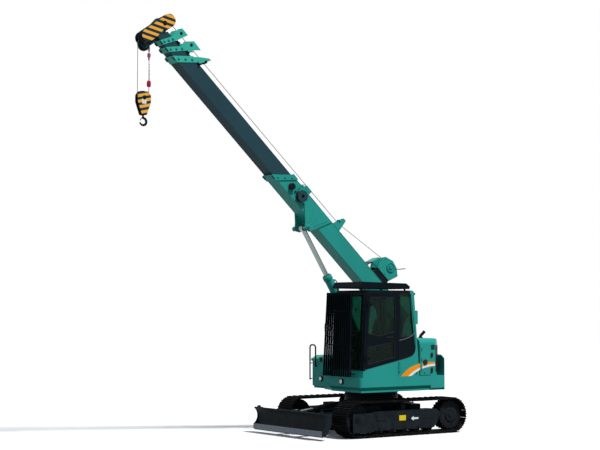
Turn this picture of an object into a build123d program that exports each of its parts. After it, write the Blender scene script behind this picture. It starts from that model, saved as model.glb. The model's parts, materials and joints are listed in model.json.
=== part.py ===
"""Crawler crane with a telescopic boom: a tracked undercarriage with a dozer blade, a slewing upper
structure with cab, engine bay and counterweight, a five-section boom and a hook block.

Frame: X forward, Y left, Z up, millimetres, origin on the slew axis at ground level.
"""
import os
from math import atan2, cos, degrees, hypot, pi, radians, sin

from build123d import *

os.makedirs("parts", exist_ok=True)

# ---------------------------------------------------------------- clearances
seat = 0.3            # gap of a piece that rests in or on another
running = 0.06        # radial clearance of a pin in its bore

# ---------------------------------------------------------------- tracks
track_length = 2840.0
track_height = 660.0
overall_width = 2200.0
shoe_width = 450.0
shoe_count = 46
lug_height = 22.0
band_thickness = 34.0
tumbler_x = (track_length - track_height) / 2
tumbler_z = track_height / 2
track_y = (overall_width - shoe_width) / 2
shoe_radius = track_height / 2 - lug_height
band_inner_radius = shoe_radius - band_thickness
frame_end_gap = 16.0
frame_half_length = tumbler_x - band_inner_radius - frame_end_gap

frame_plate = 20.0
frame_width = 270.0
frame_beam_bottom = 250.0
frame_beam_top = 455.0
frame_skirt_bottom = 115.0
cover_front = 1196.0
cover_bottom = 96.0
roller_radius = 80.0
roller_width = 190.0
roller_axle_radius = 20.0
roller_pitch = 300.0
roller_count = 5
carrier_radius = 52.0
carrier_width = 120.0
sprocket_teeth = 21
sprocket_root_radius = 236.0
sprocket_tip_radius = 262.0
sprocket_width = 52.0
drive_hub_radius = 150.0
idler_width = 120.0
idler_hub_radius = 70.0
axle_boss_radius = 95.0

# ---------------------------------------------------------------- car body and slew ring
carbody_bottom = 300.0
carbody_top = 690.0
turret_radius = 500.0
leg_reach = 470.0
leg_width = 230.0
leg_bottom = 330.0
leg_top = 540.0
tow_eye_x = -640.0
tow_eye_y = 220.0
tow_eye_z = 430.0
tow_eye_radius = 22.0
ring_outer_radius = 495.0
ring_inner_radius = 380.0
ring_top = 800.0

# ---------------------------------------------------------------- dozer blade
blade_width = 2200.0
blade_front = 1930.0
blade_bottom = 60.0
blade_top = 470.0
blade_hollow = 75.0
blade_skin = 30.0
edge_height = 110.0
edge_thickness = 25.0
end_plate = 18.0
end_plate_depth = 200.0
blade_pivot_x = 665.0
blade_pivot_z = 360.0
blade_arm_y = 300.0
blade_arm_width = 50.0
blade_arm_height = 130.0
blade_pin_radius = 25.0
lug_plate = 25.0
ram_pin_radius = 20.0
ram_foot_x = 650.0
ram_foot_z = 560.0
ram_eye_x = 1700.0
ram_eye_z = 440.0
ram_barrel_radius = 48.0
ram_rod_radius = 21.0
ram_eye_radius = 42.0
ram_eye_width = 46.0
ram_barrel_length = 690.0
ram_rod_length = 760.0
ram_drift = 9.0
lug_clearance = 6.0

# ---------------------------------------------------------------- upper structure
deck_bottom = ring_top
deck_top = 840.0
side_left = 1020.0
side_right = -965.0
well_left = 85.0
well_right = -375.0
tail_radius = 1380.0
base_top = 1070.0
base_front = 1034.0
base_round = 60.0
base_chamfer = 55.0
deck_inset = 40.0
seam_x = -610.0
weight_front = -940.0
weight_top = 1440.0
weight_chamfer = 60.0
bay_front = -350.0
bay_wall = 12.0
bay_top = 1640.0
bay_radius = 1240.0
hood_top = 1760.0
hood_shoulder_x = -700.0
hood_round = 110.0
hood_tail_z = 1650.0
hood_skin = 10.0
hinge_radius = 9.0
hinge_pin_radius = 5.0
hinge_length = 34.0
box_front = 700.0
box_rear = 90.0
box_top = 1310.0
box_wall = 12.0
box_round = 60.0
lid_rise = 110.0
tank_top = 1400.0

tower_plate = 25.0
tower_gap = 15.0

# ---------------------------------------------------------------- cab
cab_left = 1020.0
cab_right = 85.0
cab_bottom = base_top
cab_top = 2640.0
cab_front_bottom = 980.0
cab_front_top = 880.0
cab_rear_bottom = -330.0
cab_rear_top = -210.0
cab_wall = 35.0
vent_low = 2020.0
vent_height = 250.0
vent_depth = 90.0
vent_width = 140.0
pane = 8.0
door_rear = 170.0
door_front_bottom = 925.0
door_front_top = 850.0
door_bottom = 1235.0
door_top = 2560.0
door_round = 50.0
door_hinge_reach = 12.0
door_hinge_y = 1042.0
door_hinge_heights = (1420.0, 2380.0)
door_pin_radius = 9.0
door_knuckle_radius = 15.0
door_knuckle_length = 50.0
door_sill_rise = 150.0
guard_bar_width = 8.0
guard_bar_depth = 40.0
guard_brace = 9.0
guard_bars = 13
guard_gap = 150.0
roof_guard_bottom = 2665.0
roof_guard_top = 2790.0

# ---------------------------------------------------------------- boom
boom_angle = 43.1
boom_y = -150.0
boom_bottom = 1915.0
boom_height = 320.0
boom_width = 300.0
boom_wall = 8.0
boom_rear = 800.0
collar_length = 140.0
mouth_slope = 1.03      # how far the base's mouth runs back for each unit up its sides
collar_plate = 16.0
pad_length = 160.0
pivot_along = 1062.0
pivot_across = 1750.0
boom_pin_radius = 40.0
boom_foot_radius = 95.0
boom_foot_width = 180.0
lift_pin_along = 3660.0
lift_pin_across = 1760.0
front_overhang = 1223.0
boom_front = lift_pin_along + front_overhang
lift_lug = 20.0
lift_foot_x = -302.0
lift_foot_z = 950.0
lift_barrel_radius = 80.0
lift_rod_radius = 45.0
lift_eye_radius = 55.0
lift_eye_width = 100.0
lift_barrel_length = 2320.0

reel_set_back = 713.0
reel_height = 150.0
reel_radius = 105.0
reel_depth = 90.0
guide_set_back = 560.0
guide_rise = 315.0
guide_roller_radius = 30.0
guide_roller_rise = 201.0

winch_along = 1750.0
winch_across = 2605.0
winch_plate = 16.0
drum_radius = 75.0
drum_flange_radius = 112.0
drum_axle_radius = 24.0
drum_width = 190.0

sheave_radius = 116.0
groove_radius = 104.0
rope_radius = 6.0
sheave_width = 34.0
cheek_gap = 0.5
head_reach = 3317.0
head_low_along = boom_front + head_reach
head_low_across = 1705.0
head_high_across = 2262.0
head_plate = 12.0
block_sheave_z = 5925.0
limit_weight_rise = 195.0
block_half_width = 50.0
block_half_length = 130.0
block_plate = 28.0

# Sections inside the base, telescoped one in another.
# columns: node, outer width, outer height, wall, rear end and front end (both from the base's front end),
# and how far the front end runs back for each unit up its sides
section_table = [
    ("boom_section_2", 270.0, 290.0, 7.0, -820.0, 2842.0, 0.95),
    ("boom_section_3", 242.0, 262.0, 6.0, -640.0, 3030.0, 0.80),
    ("boom_section_4", 216.0, 236.0, 6.0, -550.0, 3180.0, 0.50),
    ("boom_section_5", 190.0, 210.0, 6.0, -460.0, 3247.0, 0.30),
]
# The collar round each section's mouth, with two fins that carry the rope's pin above the section.
# columns: node, length, then five corners of the fins, from the front foot over the crest to the rear foot,
# each as run behind the section's front end and rise above its crown, and the run of the pin
collar_table = [
    ("boom_collar_2", 150.0, (265, -20), (395, 115), (525, 231), (575, 231), (435, -20), 520.0),
    ("boom_collar_3", 110.0, (185, -20), (173, 80), (300, 236), (500, 227), (299, -20), 310.0),
    ("boom_collar_4", 100.0, (112, -20), (97, 167), (142, 239), (301, 240), (210, -20), 190.0),
]
fin_plate = 8.0
fin_pin_radius = 18.0
rope_rise = 2378.0        # height of the rope over the crown, across the boom

boom_middle = boom_bottom + boom_height / 2
boom_crown = boom_bottom + boom_height


def beam(along, across):
    """World x and z of a point given along and across the boom."""
    angle = radians(boom_angle)
    return (along * cos(angle) - across * sin(angle), along * sin(angle) + across * cos(angle))


def side(y):
    """Vertical plane at y whose own axes are X and Z."""
    return Plane.XZ.offset(-y)


def boom_side(y=boom_y):
    """Vertical plane at y whose own axes run along and across the boom."""
    angle = radians(boom_angle)
    return Plane(origin=(0, y, 0), x_dir=(cos(angle), 0, sin(angle)), z_dir=(0, -1, 0))


def save(piece, label):
    piece.part.label = label
    export_step(piece.part, f"parts/{label}.step")


def rod(start, end, radius):
    """A round bar from start to end."""
    with BuildPart(mode=Mode.PRIVATE) as bar:
        with BuildSketch(Plane(origin=start, z_dir=end - start)):
            Circle(radius)
        extrude(amount=(end - start).length)
    return bar.part


# ================================================================ undercarriage
def shoe_point(distance, lift):
    """A point on the shoes' path, lifted outwards from it."""
    run = 2 * tumbler_x
    arc = pi * shoe_radius
    distance %= 2 * (run + arc)
    reach = shoe_radius + lift
    if distance < run:
        return (tumbler_x - distance, tumbler_z - reach)
    distance -= run
    if distance < arc:
        turn = distance / shoe_radius
        return (-tumbler_x - reach * sin(turn), tumbler_z - reach * cos(turn))
    distance -= arc
    if distance < run:
        return (-tumbler_x + distance, tumbler_z + reach)
    turn = (distance - run) / shoe_radius
    return (tumbler_x + reach * sin(turn), tumbler_z + reach * cos(turn))


# columns: place along one shoe, 0 to 1, and lift above the shoe's plate
shoe_profile = [(0.05, 0.0), (0.36, 0.0), (0.42, lug_height), (0.58, lug_height), (0.64, 0.0), (0.95, 0.0)]
shoe_pitch = 2 * (2 * tumbler_x + pi * shoe_radius) / shoe_count
loop_points = [
    shoe_point((shoe + place) * shoe_pitch, lift)
    for shoe in range(shoe_count)
    for place, lift in shoe_profile
]

hands = {"left": 1, "right": -1}
roller_z = tumbler_z - band_inner_radius + seat + roller_radius
carrier_z = tumbler_z + band_inner_radius - seat - carrier_radius
frame_gap = frame_width - 2 * frame_plate

for hand, sign in hands.items():
    middle = sign * track_y
    with BuildPart() as track:
        with BuildSketch(side(middle)):
            with BuildLine():
                Polyline(*loop_points, close=True)
            make_face()
            with Locations((0, tumbler_z)):
                SlotCenterToCenter(2 * tumbler_x, 2 * band_inner_radius, mode=Mode.SUBTRACT)
        extrude(amount=shoe_width / 2, both=True)
    save(track, f"track_{hand}")

    with BuildPart() as track_frame:
        with BuildSketch(side(middle)):
            with BuildLine():
                Polyline(
                    (-frame_half_length, frame_beam_bottom + 30),
                    (-frame_half_length + 60, frame_beam_bottom),
                    (frame_half_length, frame_beam_bottom),
                    (frame_half_length, frame_beam_top - 40),
                    (frame_half_length - 60, frame_beam_top),
                    (-frame_half_length + 60, frame_beam_top),
                    (-frame_half_length, frame_beam_top - 40),
                    close=True,
                )
            make_face()
        extrude(amount=frame_width / 2, both=True)
        for face in (1, -1):
            with BuildSketch(side(middle + face * (frame_width - frame_plate) / 2)):
                with BuildLine():
                    Polyline(
                        (-frame_half_length + 120, frame_skirt_bottom),
                        (frame_half_length - 120, frame_skirt_bottom),
                        (frame_half_length - 40, frame_beam_bottom - 60),
                        (tumbler_x, tumbler_z - axle_boss_radius),
                        (tumbler_x, tumbler_z + axle_boss_radius),
                        (frame_half_length - 40, frame_beam_top - 40),
                        (-frame_half_length + 40, frame_beam_top - 40),
                        (-frame_half_length - 40, frame_beam_top - 60),
                        (-frame_half_length + 40, frame_beam_bottom - 60),
                        close=True,
                    )
                make_face()
                with Locations((tumbler_x, tumbler_z)):
                    Circle(axle_boss_radius)
            extrude(amount=frame_plate / 2, both=True)
            if face == sign:
                with BuildSketch(side(middle + face * (frame_width - frame_plate) / 2)):
                    with BuildLine():
                        Polyline(
                            (frame_half_length - 240, frame_beam_bottom + 10),
                            (frame_half_length - 70, cover_bottom),
                            (cover_front, cover_bottom),
                            (cover_front, frame_beam_top - 20),
                            (frame_half_length - 240, frame_beam_top - 20),
                            close=True,
                        )
                    make_face()
                extrude(amount=frame_plate / 2, both=True)
            with BuildSketch(side(middle + face * (carrier_width + frame_plate + 2 * seat) / 2)):
                with Locations((0, (frame_beam_top + carrier_z) / 2 - 10)):
                    Rectangle(90, carrier_z - frame_beam_top + 30)
            extrude(amount=frame_plate / 2, both=True)
        with BuildSketch(side(middle - sign * (frame_width - frame_plate) / 2)):
            with BuildLine():
                Polyline(
                    (-frame_half_length + 40, frame_beam_bottom),
                    (-tumbler_x, tumbler_z - drive_hub_radius),
                    (-tumbler_x, tumbler_z + drive_hub_radius),
                    (-frame_half_length + 40, frame_beam_top - 40),
                    close=True,
                )
            make_face()
            with Locations((-tumbler_x, tumbler_z)):
                Circle(drive_hub_radius)
        extrude(amount=frame_plate / 2, both=True)
    save(track_frame, f"track_frame_{hand}")

    with BuildPart() as rollers:
        with BuildSketch(side(middle)):
            with Locations((0, roller_z)):
                with GridLocations(roller_pitch, 1, roller_count, 1):
                    Circle(roller_radius)
        extrude(amount=roller_width / 2, both=True)
        with BuildSketch(side(middle)):
            with Locations((0, roller_z)):
                with GridLocations(roller_pitch, 1, roller_count, 1):
                    Circle(roller_axle_radius)
        extrude(amount=frame_gap / 2 - seat, both=True)
        with BuildSketch(side(middle)):
            with Locations((0, carrier_z)):
                Circle(carrier_radius)
        extrude(amount=carrier_width / 2, both=True)
        with BuildSketch(side(middle)):
            with Locations((tumbler_x, tumbler_z)):
                Circle(band_inner_radius - seat)
        extrude(amount=idler_width / 2, both=True)
        with BuildSketch(side(middle)):
            with Locations((tumbler_x, tumbler_z)):
                Circle(idler_hub_radius)
        extrude(amount=frame_gap / 2 - seat, both=True)
    save(rollers, f"track_rollers_{hand}")

    drive_face = middle - sign * (frame_width / 2 - frame_plate)
    with BuildPart() as sprocket:
        with BuildSketch(side(drive_face + sign * seat)):
            with Locations((-tumbler_x, tumbler_z)):
                Circle(drive_hub_radius - 10)
        extrude(amount=-sign * (frame_width - frame_plate - seat))
        with BuildSketch(side(middle)):
            with Locations((-tumbler_x, tumbler_z)):
                Circle(sprocket_root_radius)
                with PolarLocations(sprocket_root_radius, sprocket_teeth):
                    Rectangle(2 * (sprocket_tip_radius - sprocket_root_radius), 34)
        extrude(amount=sprocket_width / 2, both=True)
        chamfer(sprocket.faces().sort_by(Axis.Y)[-1 if sign > 0 else 0].edges(), 12)
    save(sprocket, f"sprocket_{hand}")

frame_inner_y = track_y - frame_width / 2
with BuildPart() as carbody:
    with BuildSketch(Plane.XY.offset(carbody_bottom)):
        Circle(turret_radius)
    extrude(amount=carbody_top - carbody_bottom)
    with BuildSketch(Plane.XY.offset(leg_bottom)):
        with GridLocations(2 * leg_reach, 1, 2, 1):
            Rectangle(leg_width, 2 * frame_inner_y)
    extrude(amount=leg_top - leg_bottom)
    for y in (-blade_arm_y, blade_arm_y):
        for face in (-1, 1):
            with BuildSketch(side(y + face * (blade_arm_width + lug_plate + 6) / 2)):
                with Locations((blade_pivot_x, blade_pivot_z)):
                    Circle(60)
                with Locations((blade_pivot_x - 100, blade_pivot_z)):
                    Rectangle(200, 120)
            extrude(amount=lug_plate / 2, both=True)
    for y in (-tow_eye_y, tow_eye_y):
        with BuildSketch(Plane.XY.offset(tow_eye_z)):
            with Locations((tow_eye_x, y)):
                Circle(2.5 * tow_eye_radius)
            with Locations(((tow_eye_x - leg_reach) / 2, y)):
                Rectangle(-tow_eye_x - leg_reach, 5 * tow_eye_radius)
            with Locations((tow_eye_x, y)):
                Circle(tow_eye_radius, mode=Mode.SUBTRACT)
        extrude(amount=lug_plate / 2, both=True)
    for face in (-1, 1):
        with BuildSketch(side(face * (ram_eye_width / 2 + lug_clearance + lug_plate / 2))):
            with Locations((ram_foot_x, ram_foot_z)):
                Circle(50)
            with Locations((ram_foot_x - 90, ram_foot_z)):
                Rectangle(180, 100)
        extrude(amount=lug_plate / 2, both=True)
    for y in (-blade_arm_y, blade_arm_y):
        with BuildSketch(side(y)):
            with Locations((blade_pivot_x, blade_pivot_z)):
                Circle(blade_pin_radius)
        extrude(amount=blade_arm_width / 2 + 3 + lug_plate, both=True)
    with BuildSketch(side(0)):
        with Locations((ram_foot_x, ram_foot_z)):
            Circle(ram_pin_radius)
    extrude(amount=ram_eye_width / 2 + lug_clearance + lug_plate, both=True)
save(carbody, "carbody")

with BuildPart() as slew_ring:
    with BuildSketch(Plane.XY.offset(carbody_top)):
        Circle(ring_outer_radius)
        Circle(ring_inner_radius, mode=Mode.SUBTRACT)
    extrude(amount=ring_top - seat - carbody_top)
    chamfer(slew_ring.edges().filter_by(GeomType.CIRCLE).sort_by(Axis.Z)[-2:], 10)
save(slew_ring, "slew_ring")

# ================================================================ dozer blade
blade_back = blade_front - end_plate_depth
arm_front = blade_front - blade_hollow - blade_skin - edge_thickness
with BuildPart() as dozer_blade:
    with BuildSketch(side(0)):
        with BuildLine():
            outer = ThreePointArc(
                (blade_front - edge_thickness, blade_bottom + edge_height / 2),
                (blade_front - edge_thickness - blade_hollow, (blade_bottom + blade_top) / 2 + 30),
                (blade_front, blade_top),
            )
            inner = ThreePointArc(
                (blade_front - edge_thickness - blade_skin, blade_bottom + edge_height / 2),
                (arm_front, (blade_bottom + blade_top) / 2 + 30),
                (blade_front - blade_skin, blade_top),
            )
            Line(outer @ 0, inner @ 0)
            Line(outer @ 1, inner @ 1)
        make_face()
    extrude(amount=blade_width / 2 - end_plate, both=True)
    for face in (-1, 1):
        with BuildSketch(side(face * (blade_width - end_plate) / 2)):
            with BuildLine():
                Polyline(
                    (blade_front, blade_top),
                    (blade_back, blade_top),
                    (blade_back, blade_bottom + 230),
                    (blade_back + 90, blade_bottom + 60),
                    (blade_front - 60, blade_bottom + 20),
                    (blade_front, blade_bottom + 20),
                    (blade_front, blade_bottom + edge_height),
                )
                ThreePointArc(
                    (blade_front, blade_bottom + edge_height),
                    (blade_front - blade_hollow - 8, (blade_bottom + blade_top) / 2 + 40),
                    (blade_front, blade_top),
                )
            make_face()
        extrude(amount=end_plate / 2, both=True)
    with BuildSketch(side(0)):
        with Locations((arm_front - 30, blade_pivot_z - 80)):
            Rectangle(90, 100)
        with Locations((arm_front - 10, blade_top - 45)):
            Rectangle(60, 60)
    extrude(amount=blade_width / 2 - end_plate, both=True)
    for y in (-blade_arm_y, blade_arm_y):
        with BuildSketch(side(y)):
            with BuildLine():
                Polyline(
                    (blade_pivot_x, blade_pivot_z + blade_arm_height / 2),
                    (arm_front - 20, blade_pivot_z + 60),
                    (arm_front - 20, blade_pivot_z - 130),
                    (blade_pivot_x + 250, blade_pivot_z - blade_arm_height / 2 - 30),
                    (blade_pivot_x, blade_pivot_z - blade_arm_height / 2),
                    close=True,
                )
            make_face()
            with Locations((blade_pivot_x, blade_pivot_z)):
                Circle(blade_arm_height / 2)
                Circle(blade_pin_radius + running, mode=Mode.SUBTRACT)
        extrude(amount=blade_arm_width / 2, both=True)
    with BuildSketch(Plane.XY.offset(blade_pivot_z - 100)):
        with Locations((1250, 0)):
            Rectangle(120, 2 * blade_arm_y)
    extrude(amount=90)
    for face in (-1, 1):
        with BuildSketch(side(face * (ram_eye_width / 2 + lug_clearance + lug_plate / 2))):
            with Locations((ram_eye_x, ram_eye_z)):
                Circle(45)
            with BuildLine():
                Polyline(
                    (ram_eye_x, ram_eye_z + 45),
                    (blade_front - 70, blade_top - 15),
                    (arm_front, blade_pivot_z - 60),
                    (ram_eye_x - 20, ram_eye_z - 40),
                    close=True,
                )
            make_face()
        extrude(amount=lug_plate / 2, both=True)
    with BuildSketch(side(0)):
        with Locations((ram_eye_x, ram_eye_z)):
            Circle(ram_pin_radius)
    extrude(amount=ram_eye_width / 2 + lug_clearance + lug_plate, both=True)
save(dozer_blade, "dozer_blade")

with BuildPart() as cutting_edge:
    with BuildSketch(side(0)):
        with BuildLine():
            Polyline(
                (blade_front - edge_thickness + seat, blade_bottom + edge_height),
                (blade_front, blade_bottom + edge_height),
                (blade_front, blade_bottom + 15),
                (blade_front - 10, blade_bottom),
                (blade_front - edge_thickness + seat, blade_bottom),
                close=True,
            )
        make_face()
    extrude(amount=blade_width / 2 - end_plate - seat, both=True)
save(cutting_edge, "cutting_edge")

ram_run = hypot(ram_eye_x - ram_foot_x, ram_eye_z - ram_foot_z)
ram_tilt = degrees(atan2(ram_eye_z - ram_foot_z, ram_eye_x - ram_foot_x))
ram_axis = Plane(
    origin=(ram_foot_x, 0, ram_foot_z),
    x_dir=(0, 1, 0),
    z_dir=(cos(radians(ram_tilt)), 0, sin(radians(ram_tilt))),
)
with BuildPart() as blade_ram_barrel:
    with BuildSketch(ram_axis):
        Circle(ram_eye_width / 2)
    extrude(amount=80)
    with BuildSketch(ram_axis.offset(65)):
        Circle(ram_barrel_radius)
    extrude(amount=ram_barrel_length - 65)
    with BuildSketch(side(0)):
        with Locations((ram_foot_x, ram_foot_z)):
            Circle(ram_eye_radius)
    extrude(amount=ram_eye_width / 2, both=True)
    with BuildSketch(side(0)):
        with Locations((ram_foot_x, ram_foot_z)):
            Circle(ram_pin_radius + running)
    extrude(amount=ram_barrel_radius, both=True, mode=Mode.SUBTRACT)
    with BuildSketch(ram_axis.offset(90)):
        Circle(ram_rod_radius + running)
    extrude(amount=ram_barrel_length, mode=Mode.SUBTRACT)
save(blade_ram_barrel, "blade_ram_barrel")

with BuildPart() as blade_ram_rod:
    with BuildSketch(ram_axis.offset(ram_run - ram_rod_length)):
        Circle(ram_rod_radius)
    extrude(amount=ram_rod_length - ram_eye_radius / 2)
    with BuildSketch(side(0)):
        with Locations((ram_eye_x, ram_eye_z)):
            Circle(ram_eye_radius)
    extrude(amount=ram_eye_width / 2, both=True)
    with BuildSketch(side(0)):
        with Locations((ram_eye_x, ram_eye_z)):
            Circle(ram_pin_radius + ram_drift)
    extrude(amount=ram_barrel_radius, both=True, mode=Mode.SUBTRACT)
save(blade_ram_rod, "blade_ram_rod")

# ================================================================ upper structure
foot_x, foot_z = beam(pivot_along, pivot_across)
tower_inner = boom_width / 2 + tower_gap
with BuildPart() as upper_frame:
    with BuildSketch(Plane.XY.offset(deck_bottom)):
        with BuildLine():
            Polyline(
                (base_front - deck_inset, well_left),
                (base_front - deck_inset, side_left - deck_inset),
                (weight_front, side_left - deck_inset),
                (weight_front, side_right + deck_inset),
                (box_front - deck_inset, side_right + deck_inset),
                (box_front - deck_inset, well_right),
                (base_front - 220, well_right),
                (base_front - 120, well_left),
                close=True,
            )
        make_face()
    extrude(amount=deck_top - deck_bottom)
    for face in (-1, 1):
        with BuildSketch(side(boom_y + face * (tower_inner + tower_plate / 2))):
            with BuildLine():
                Polyline(
                    (weight_front + 40, deck_top - 10),
                    (weight_front + 40, deck_top + 260),
                    (foot_x - 130, foot_z + 20),
                    (foot_x - 60, foot_z + 96),
                    (foot_x + 60, foot_z + 96),
                    (foot_x + 110, foot_z - 40),
                    (-120, base_top + 60),
                    (120, deck_top + 60),
                    (120, deck_top - 10),
                    close=True,
                )
            make_face()
        extrude(amount=tower_plate / 2, both=True)
        with BuildSketch(side(boom_y + face * (lift_eye_width / 2 + 5 + lug_plate / 2))):
            with Locations((lift_foot_x, lift_foot_z)):
                Circle(80)
            with Locations((lift_foot_x, (deck_top + lift_foot_z) / 2)):
                Rectangle(160, lift_foot_z - deck_top)
        extrude(amount=lug_plate / 2, both=True)
    with BuildSketch(side(boom_y)):
        with Locations((foot_x, foot_z)):
            Circle(boom_pin_radius)
    extrude(amount=tower_inner + tower_plate, both=True)
    with BuildSketch(side(boom_y)):
        with Locations((lift_foot_x, lift_foot_z)):
            Circle(ram_pin_radius + 10)
    extrude(amount=lift_eye_width / 2 + 5 + lug_plate, both=True)
    with BuildSketch(side(boom_y)):
        with BuildLine():
            Polyline(
                (weight_front + 60, deck_top - 5),
                (weight_front + 60, deck_top + 250),
                (weight_front + 90, deck_top + 250),
                (weight_front + 90, deck_top - 5),
                close=True,
            )
        make_face()
    extrude(amount=tower_inner + 5, both=True)
save(upper_frame, "upper_frame")

with BuildPart() as cab_base:
    with BuildSketch(Plane.XY.offset(deck_top)):
        with BuildLine():
            Polyline(
                (base_front, well_left),
                (base_front, side_left),
                (seam_x, side_left),
                (seam_x, well_left),
                close=True,
            )
        make_face()
    extrude(amount=base_top - deck_top)
    fillet(cab_base.edges().filter_by(Axis.Z).sort_by(Axis.X)[-2:].sort_by(Axis.Y)[-1], base_round)
    low = cab_base.faces().sort_by(Axis.Z)[0].edges()
    chamfer(low.sort_by(Axis.X)[-1], base_chamfer)
save(cab_base, "cab_base")

# The rear of the upper structure is trimmed to the tail's swing circle.
with BuildPart() as counterweight:
    with BuildSketch(Plane.XY.offset(deck_bottom)):
        Circle(tail_radius)
    extrude(amount=weight_top - deck_bottom)
    split(bisect_by=Plane(origin=(weight_front, 0, 0), z_dir=(-1, 0, 0)), keep=Keep.TOP)
    chamfer(
        counterweight.faces().sort_by(Axis.Z)[-1].edges().filter_by(GeomType.CIRCLE),
        weight_chamfer,
        weight_chamfer,
    )
save(counterweight, "counterweight")

bay_left = side_left - 10
bay_middle = (well_left + bay_left) / 2


def bay_outline(inset):
    """Plan of the engine bay drawn inwards by inset, its rear corner on a circle about the slew axis."""
    with BuildSketch(mode=Mode.PRIVATE) as plan:
        Circle(bay_radius - inset)
        with Locations(((weight_front + bay_front) / 2, bay_middle)):
            Rectangle(
                bay_front - weight_front - 2 * inset, bay_left - well_left - 2 * inset, mode=Mode.INTERSECT
            )
    return plan.sketch


def hood_outline(inset, low):
    """Side outline of the hood from height low, drawn inwards by inset."""
    tail = weight_front + inset
    with BuildSketch(mode=Mode.PRIVATE) as outline:
        with BuildLine():
            Polyline(
                (tail, hood_tail_z + 10 - inset),
                (tail, low),
                (bay_front - inset, low),
                (bay_front - inset, hood_top - inset),
                (hood_shoulder_x, hood_top - inset),
            )
            TangentArc(
                (hood_shoulder_x, hood_top - inset), (tail, hood_tail_z + 10 - inset), tangent=(-1, 0)
            )
        make_face()
    return outline.sketch


def knuckle(plane, shift, length, bored):
    """One knuckle of a hinge, shifted along the plane's axis."""
    with BuildPart(mode=Mode.PRIVATE) as barrel:
        with BuildSketch(plane.offset(shift)):
            Circle(hinge_radius)
            if bored:
                Circle(hinge_pin_radius + running, mode=Mode.SUBTRACT)
        extrude(amount=length)
    return barrel.part


# Two hinges on the well side of the hood: knuckle and pin on the bay, a bored knuckle on the hood.
hood_hinges = (-660.0, -430.0)
hinge_gap = 1.0
leaf = 10.0
with BuildPart() as engine_bay:
    with BuildSketch(Plane.XY.offset(deck_top)):
        with Locations(((weight_front + seam_x) / 2, bay_middle)):
            Rectangle(seam_x - weight_front, bay_left - well_left)
    extrude(amount=base_top - deck_top)
    with BuildSketch(Plane.XY.offset(base_top)):
        add(bay_outline(0))
    extrude(amount=bay_top - base_top)
    with BuildSketch(Plane.XY.offset(base_top + bay_wall)):
        add(bay_outline(bay_wall))
    extrude(amount=bay_top - base_top, mode=Mode.SUBTRACT)
    with BuildSketch(side(well_left)):
        add(hood_outline(hood_skin + seat, bay_top - 5))
    extrude(amount=-bay_wall)
    with BuildSketch(side(bay_left)):
        with Locations((bay_front - 125, (base_top + bay_top) / 2)):
            RectangleRounded(235, bay_top - base_top - 30, 12)
    extrude(amount=-(side_left - bay_left))
    with BuildSketch(side(side_left)):
        with Locations((bay_front - 120, 1320)):
            Circle(46)
    extrude(amount=-18)
    for place in hood_hinges:
        with BuildSketch(Plane.XY.offset(hood_top - 110)):
            with Locations((place, well_left - leaf / 2)):
                Rectangle(hinge_length, leaf)
        extrude(amount=110)
        hinge_line = Plane(origin=(place, well_left, hood_top), x_dir=(0, 1, 0), z_dir=(1, 0, 0))
        add(knuckle(hinge_line, -hinge_length / 2, hinge_length, False))
        with BuildSketch(hinge_line):
            Circle(hinge_pin_radius)
        extrude(amount=1.5 * hinge_length)
save(engine_bay, "engine_bay")

engine_gap = 70.0
with BuildPart() as engine:
    with BuildSketch(Plane.XY.offset(base_top + bay_wall)):
        with Locations(((weight_front + bay_front) / 2 + 30, bay_middle - 60)):
            Rectangle(
                bay_front - weight_front - 2 * engine_gap - 60,
                bay_left - well_left - 2 * engine_gap - 120,
            )
    extrude(amount=bay_top - base_top - bay_wall - 20)
save(engine, "engine")


def hood_block(inset, low):
    """The hood's body drawn inwards by inset: round upper edge, falling tail, rear corner on its circle."""
    start = well_left - (1 if inset else 0)
    with BuildPart(mode=Mode.PRIVATE) as block:
        with BuildSketch(Plane.YZ.offset(weight_front)):
            with BuildLine():
                Polyline(
                    (bay_left - hood_round, hood_top - inset),
                    (start, hood_top - inset),
                    (start, low),
                    (bay_left - inset, low),
                    (bay_left - inset, hood_top - hood_round),
                )
                RadiusArc(
                    (bay_left - hood_round, hood_top - inset),
                    (bay_left - inset, hood_top - hood_round),
                    hood_round - inset,
                )
            make_face()
        extrude(amount=bay_front - weight_front)
        with BuildSketch(side(bay_middle)):
            add(hood_outline(inset, low))
        extrude(amount=bay_left - well_left, both=True, mode=Mode.INTERSECT)
        with BuildSketch(Plane.XY.offset(low)):
            Circle(bay_radius - inset)
        extrude(amount=hood_top - low, mode=Mode.INTERSECT)
    return block.part


with BuildPart() as engine_hood:
    add(hood_block(0, bay_top + seat))
    add(hood_block(hood_skin, bay_top - 5), mode=Mode.SUBTRACT)
    for place in hood_hinges:
        with BuildSketch(Plane.XY.offset(hood_top - 2 * hinge_radius)):
            with Locations((place, well_left)):
                Rectangle(hinge_length + 2 * hinge_gap, 4 * hinge_radius)
        extrude(amount=4 * hinge_radius, mode=Mode.SUBTRACT)
        hinge_line = Plane(origin=(place, well_left, hood_top), x_dir=(0, 1, 0), z_dir=(1, 0, 0))
        add(knuckle(hinge_line, hinge_length / 2 + hinge_gap, hinge_length, False))
        with BuildSketch(hinge_line.offset(hinge_length / 2 + hinge_gap)):
            Circle(hinge_pin_radius + running)
        extrude(amount=hinge_length, mode=Mode.SUBTRACT)
save(engine_hood, "engine_hood")

pipe_x, pipe_y = -612.0, 720.0
with BuildPart() as exhaust:
    with BuildLine(side(pipe_y)) as pipe_line:
        FilletPolyline(
            (pipe_x, hood_top + seat), (pipe_x, hood_top + 40), (pipe_x - 90, hood_top + 115), radius=35
        )
    with BuildSketch(Plane(origin=pipe_line.line @ 0, z_dir=pipe_line.line % 0)):
        Circle(29)
        Circle(24, mode=Mode.SUBTRACT)
    sweep()
save(exhaust, "exhaust")

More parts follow.
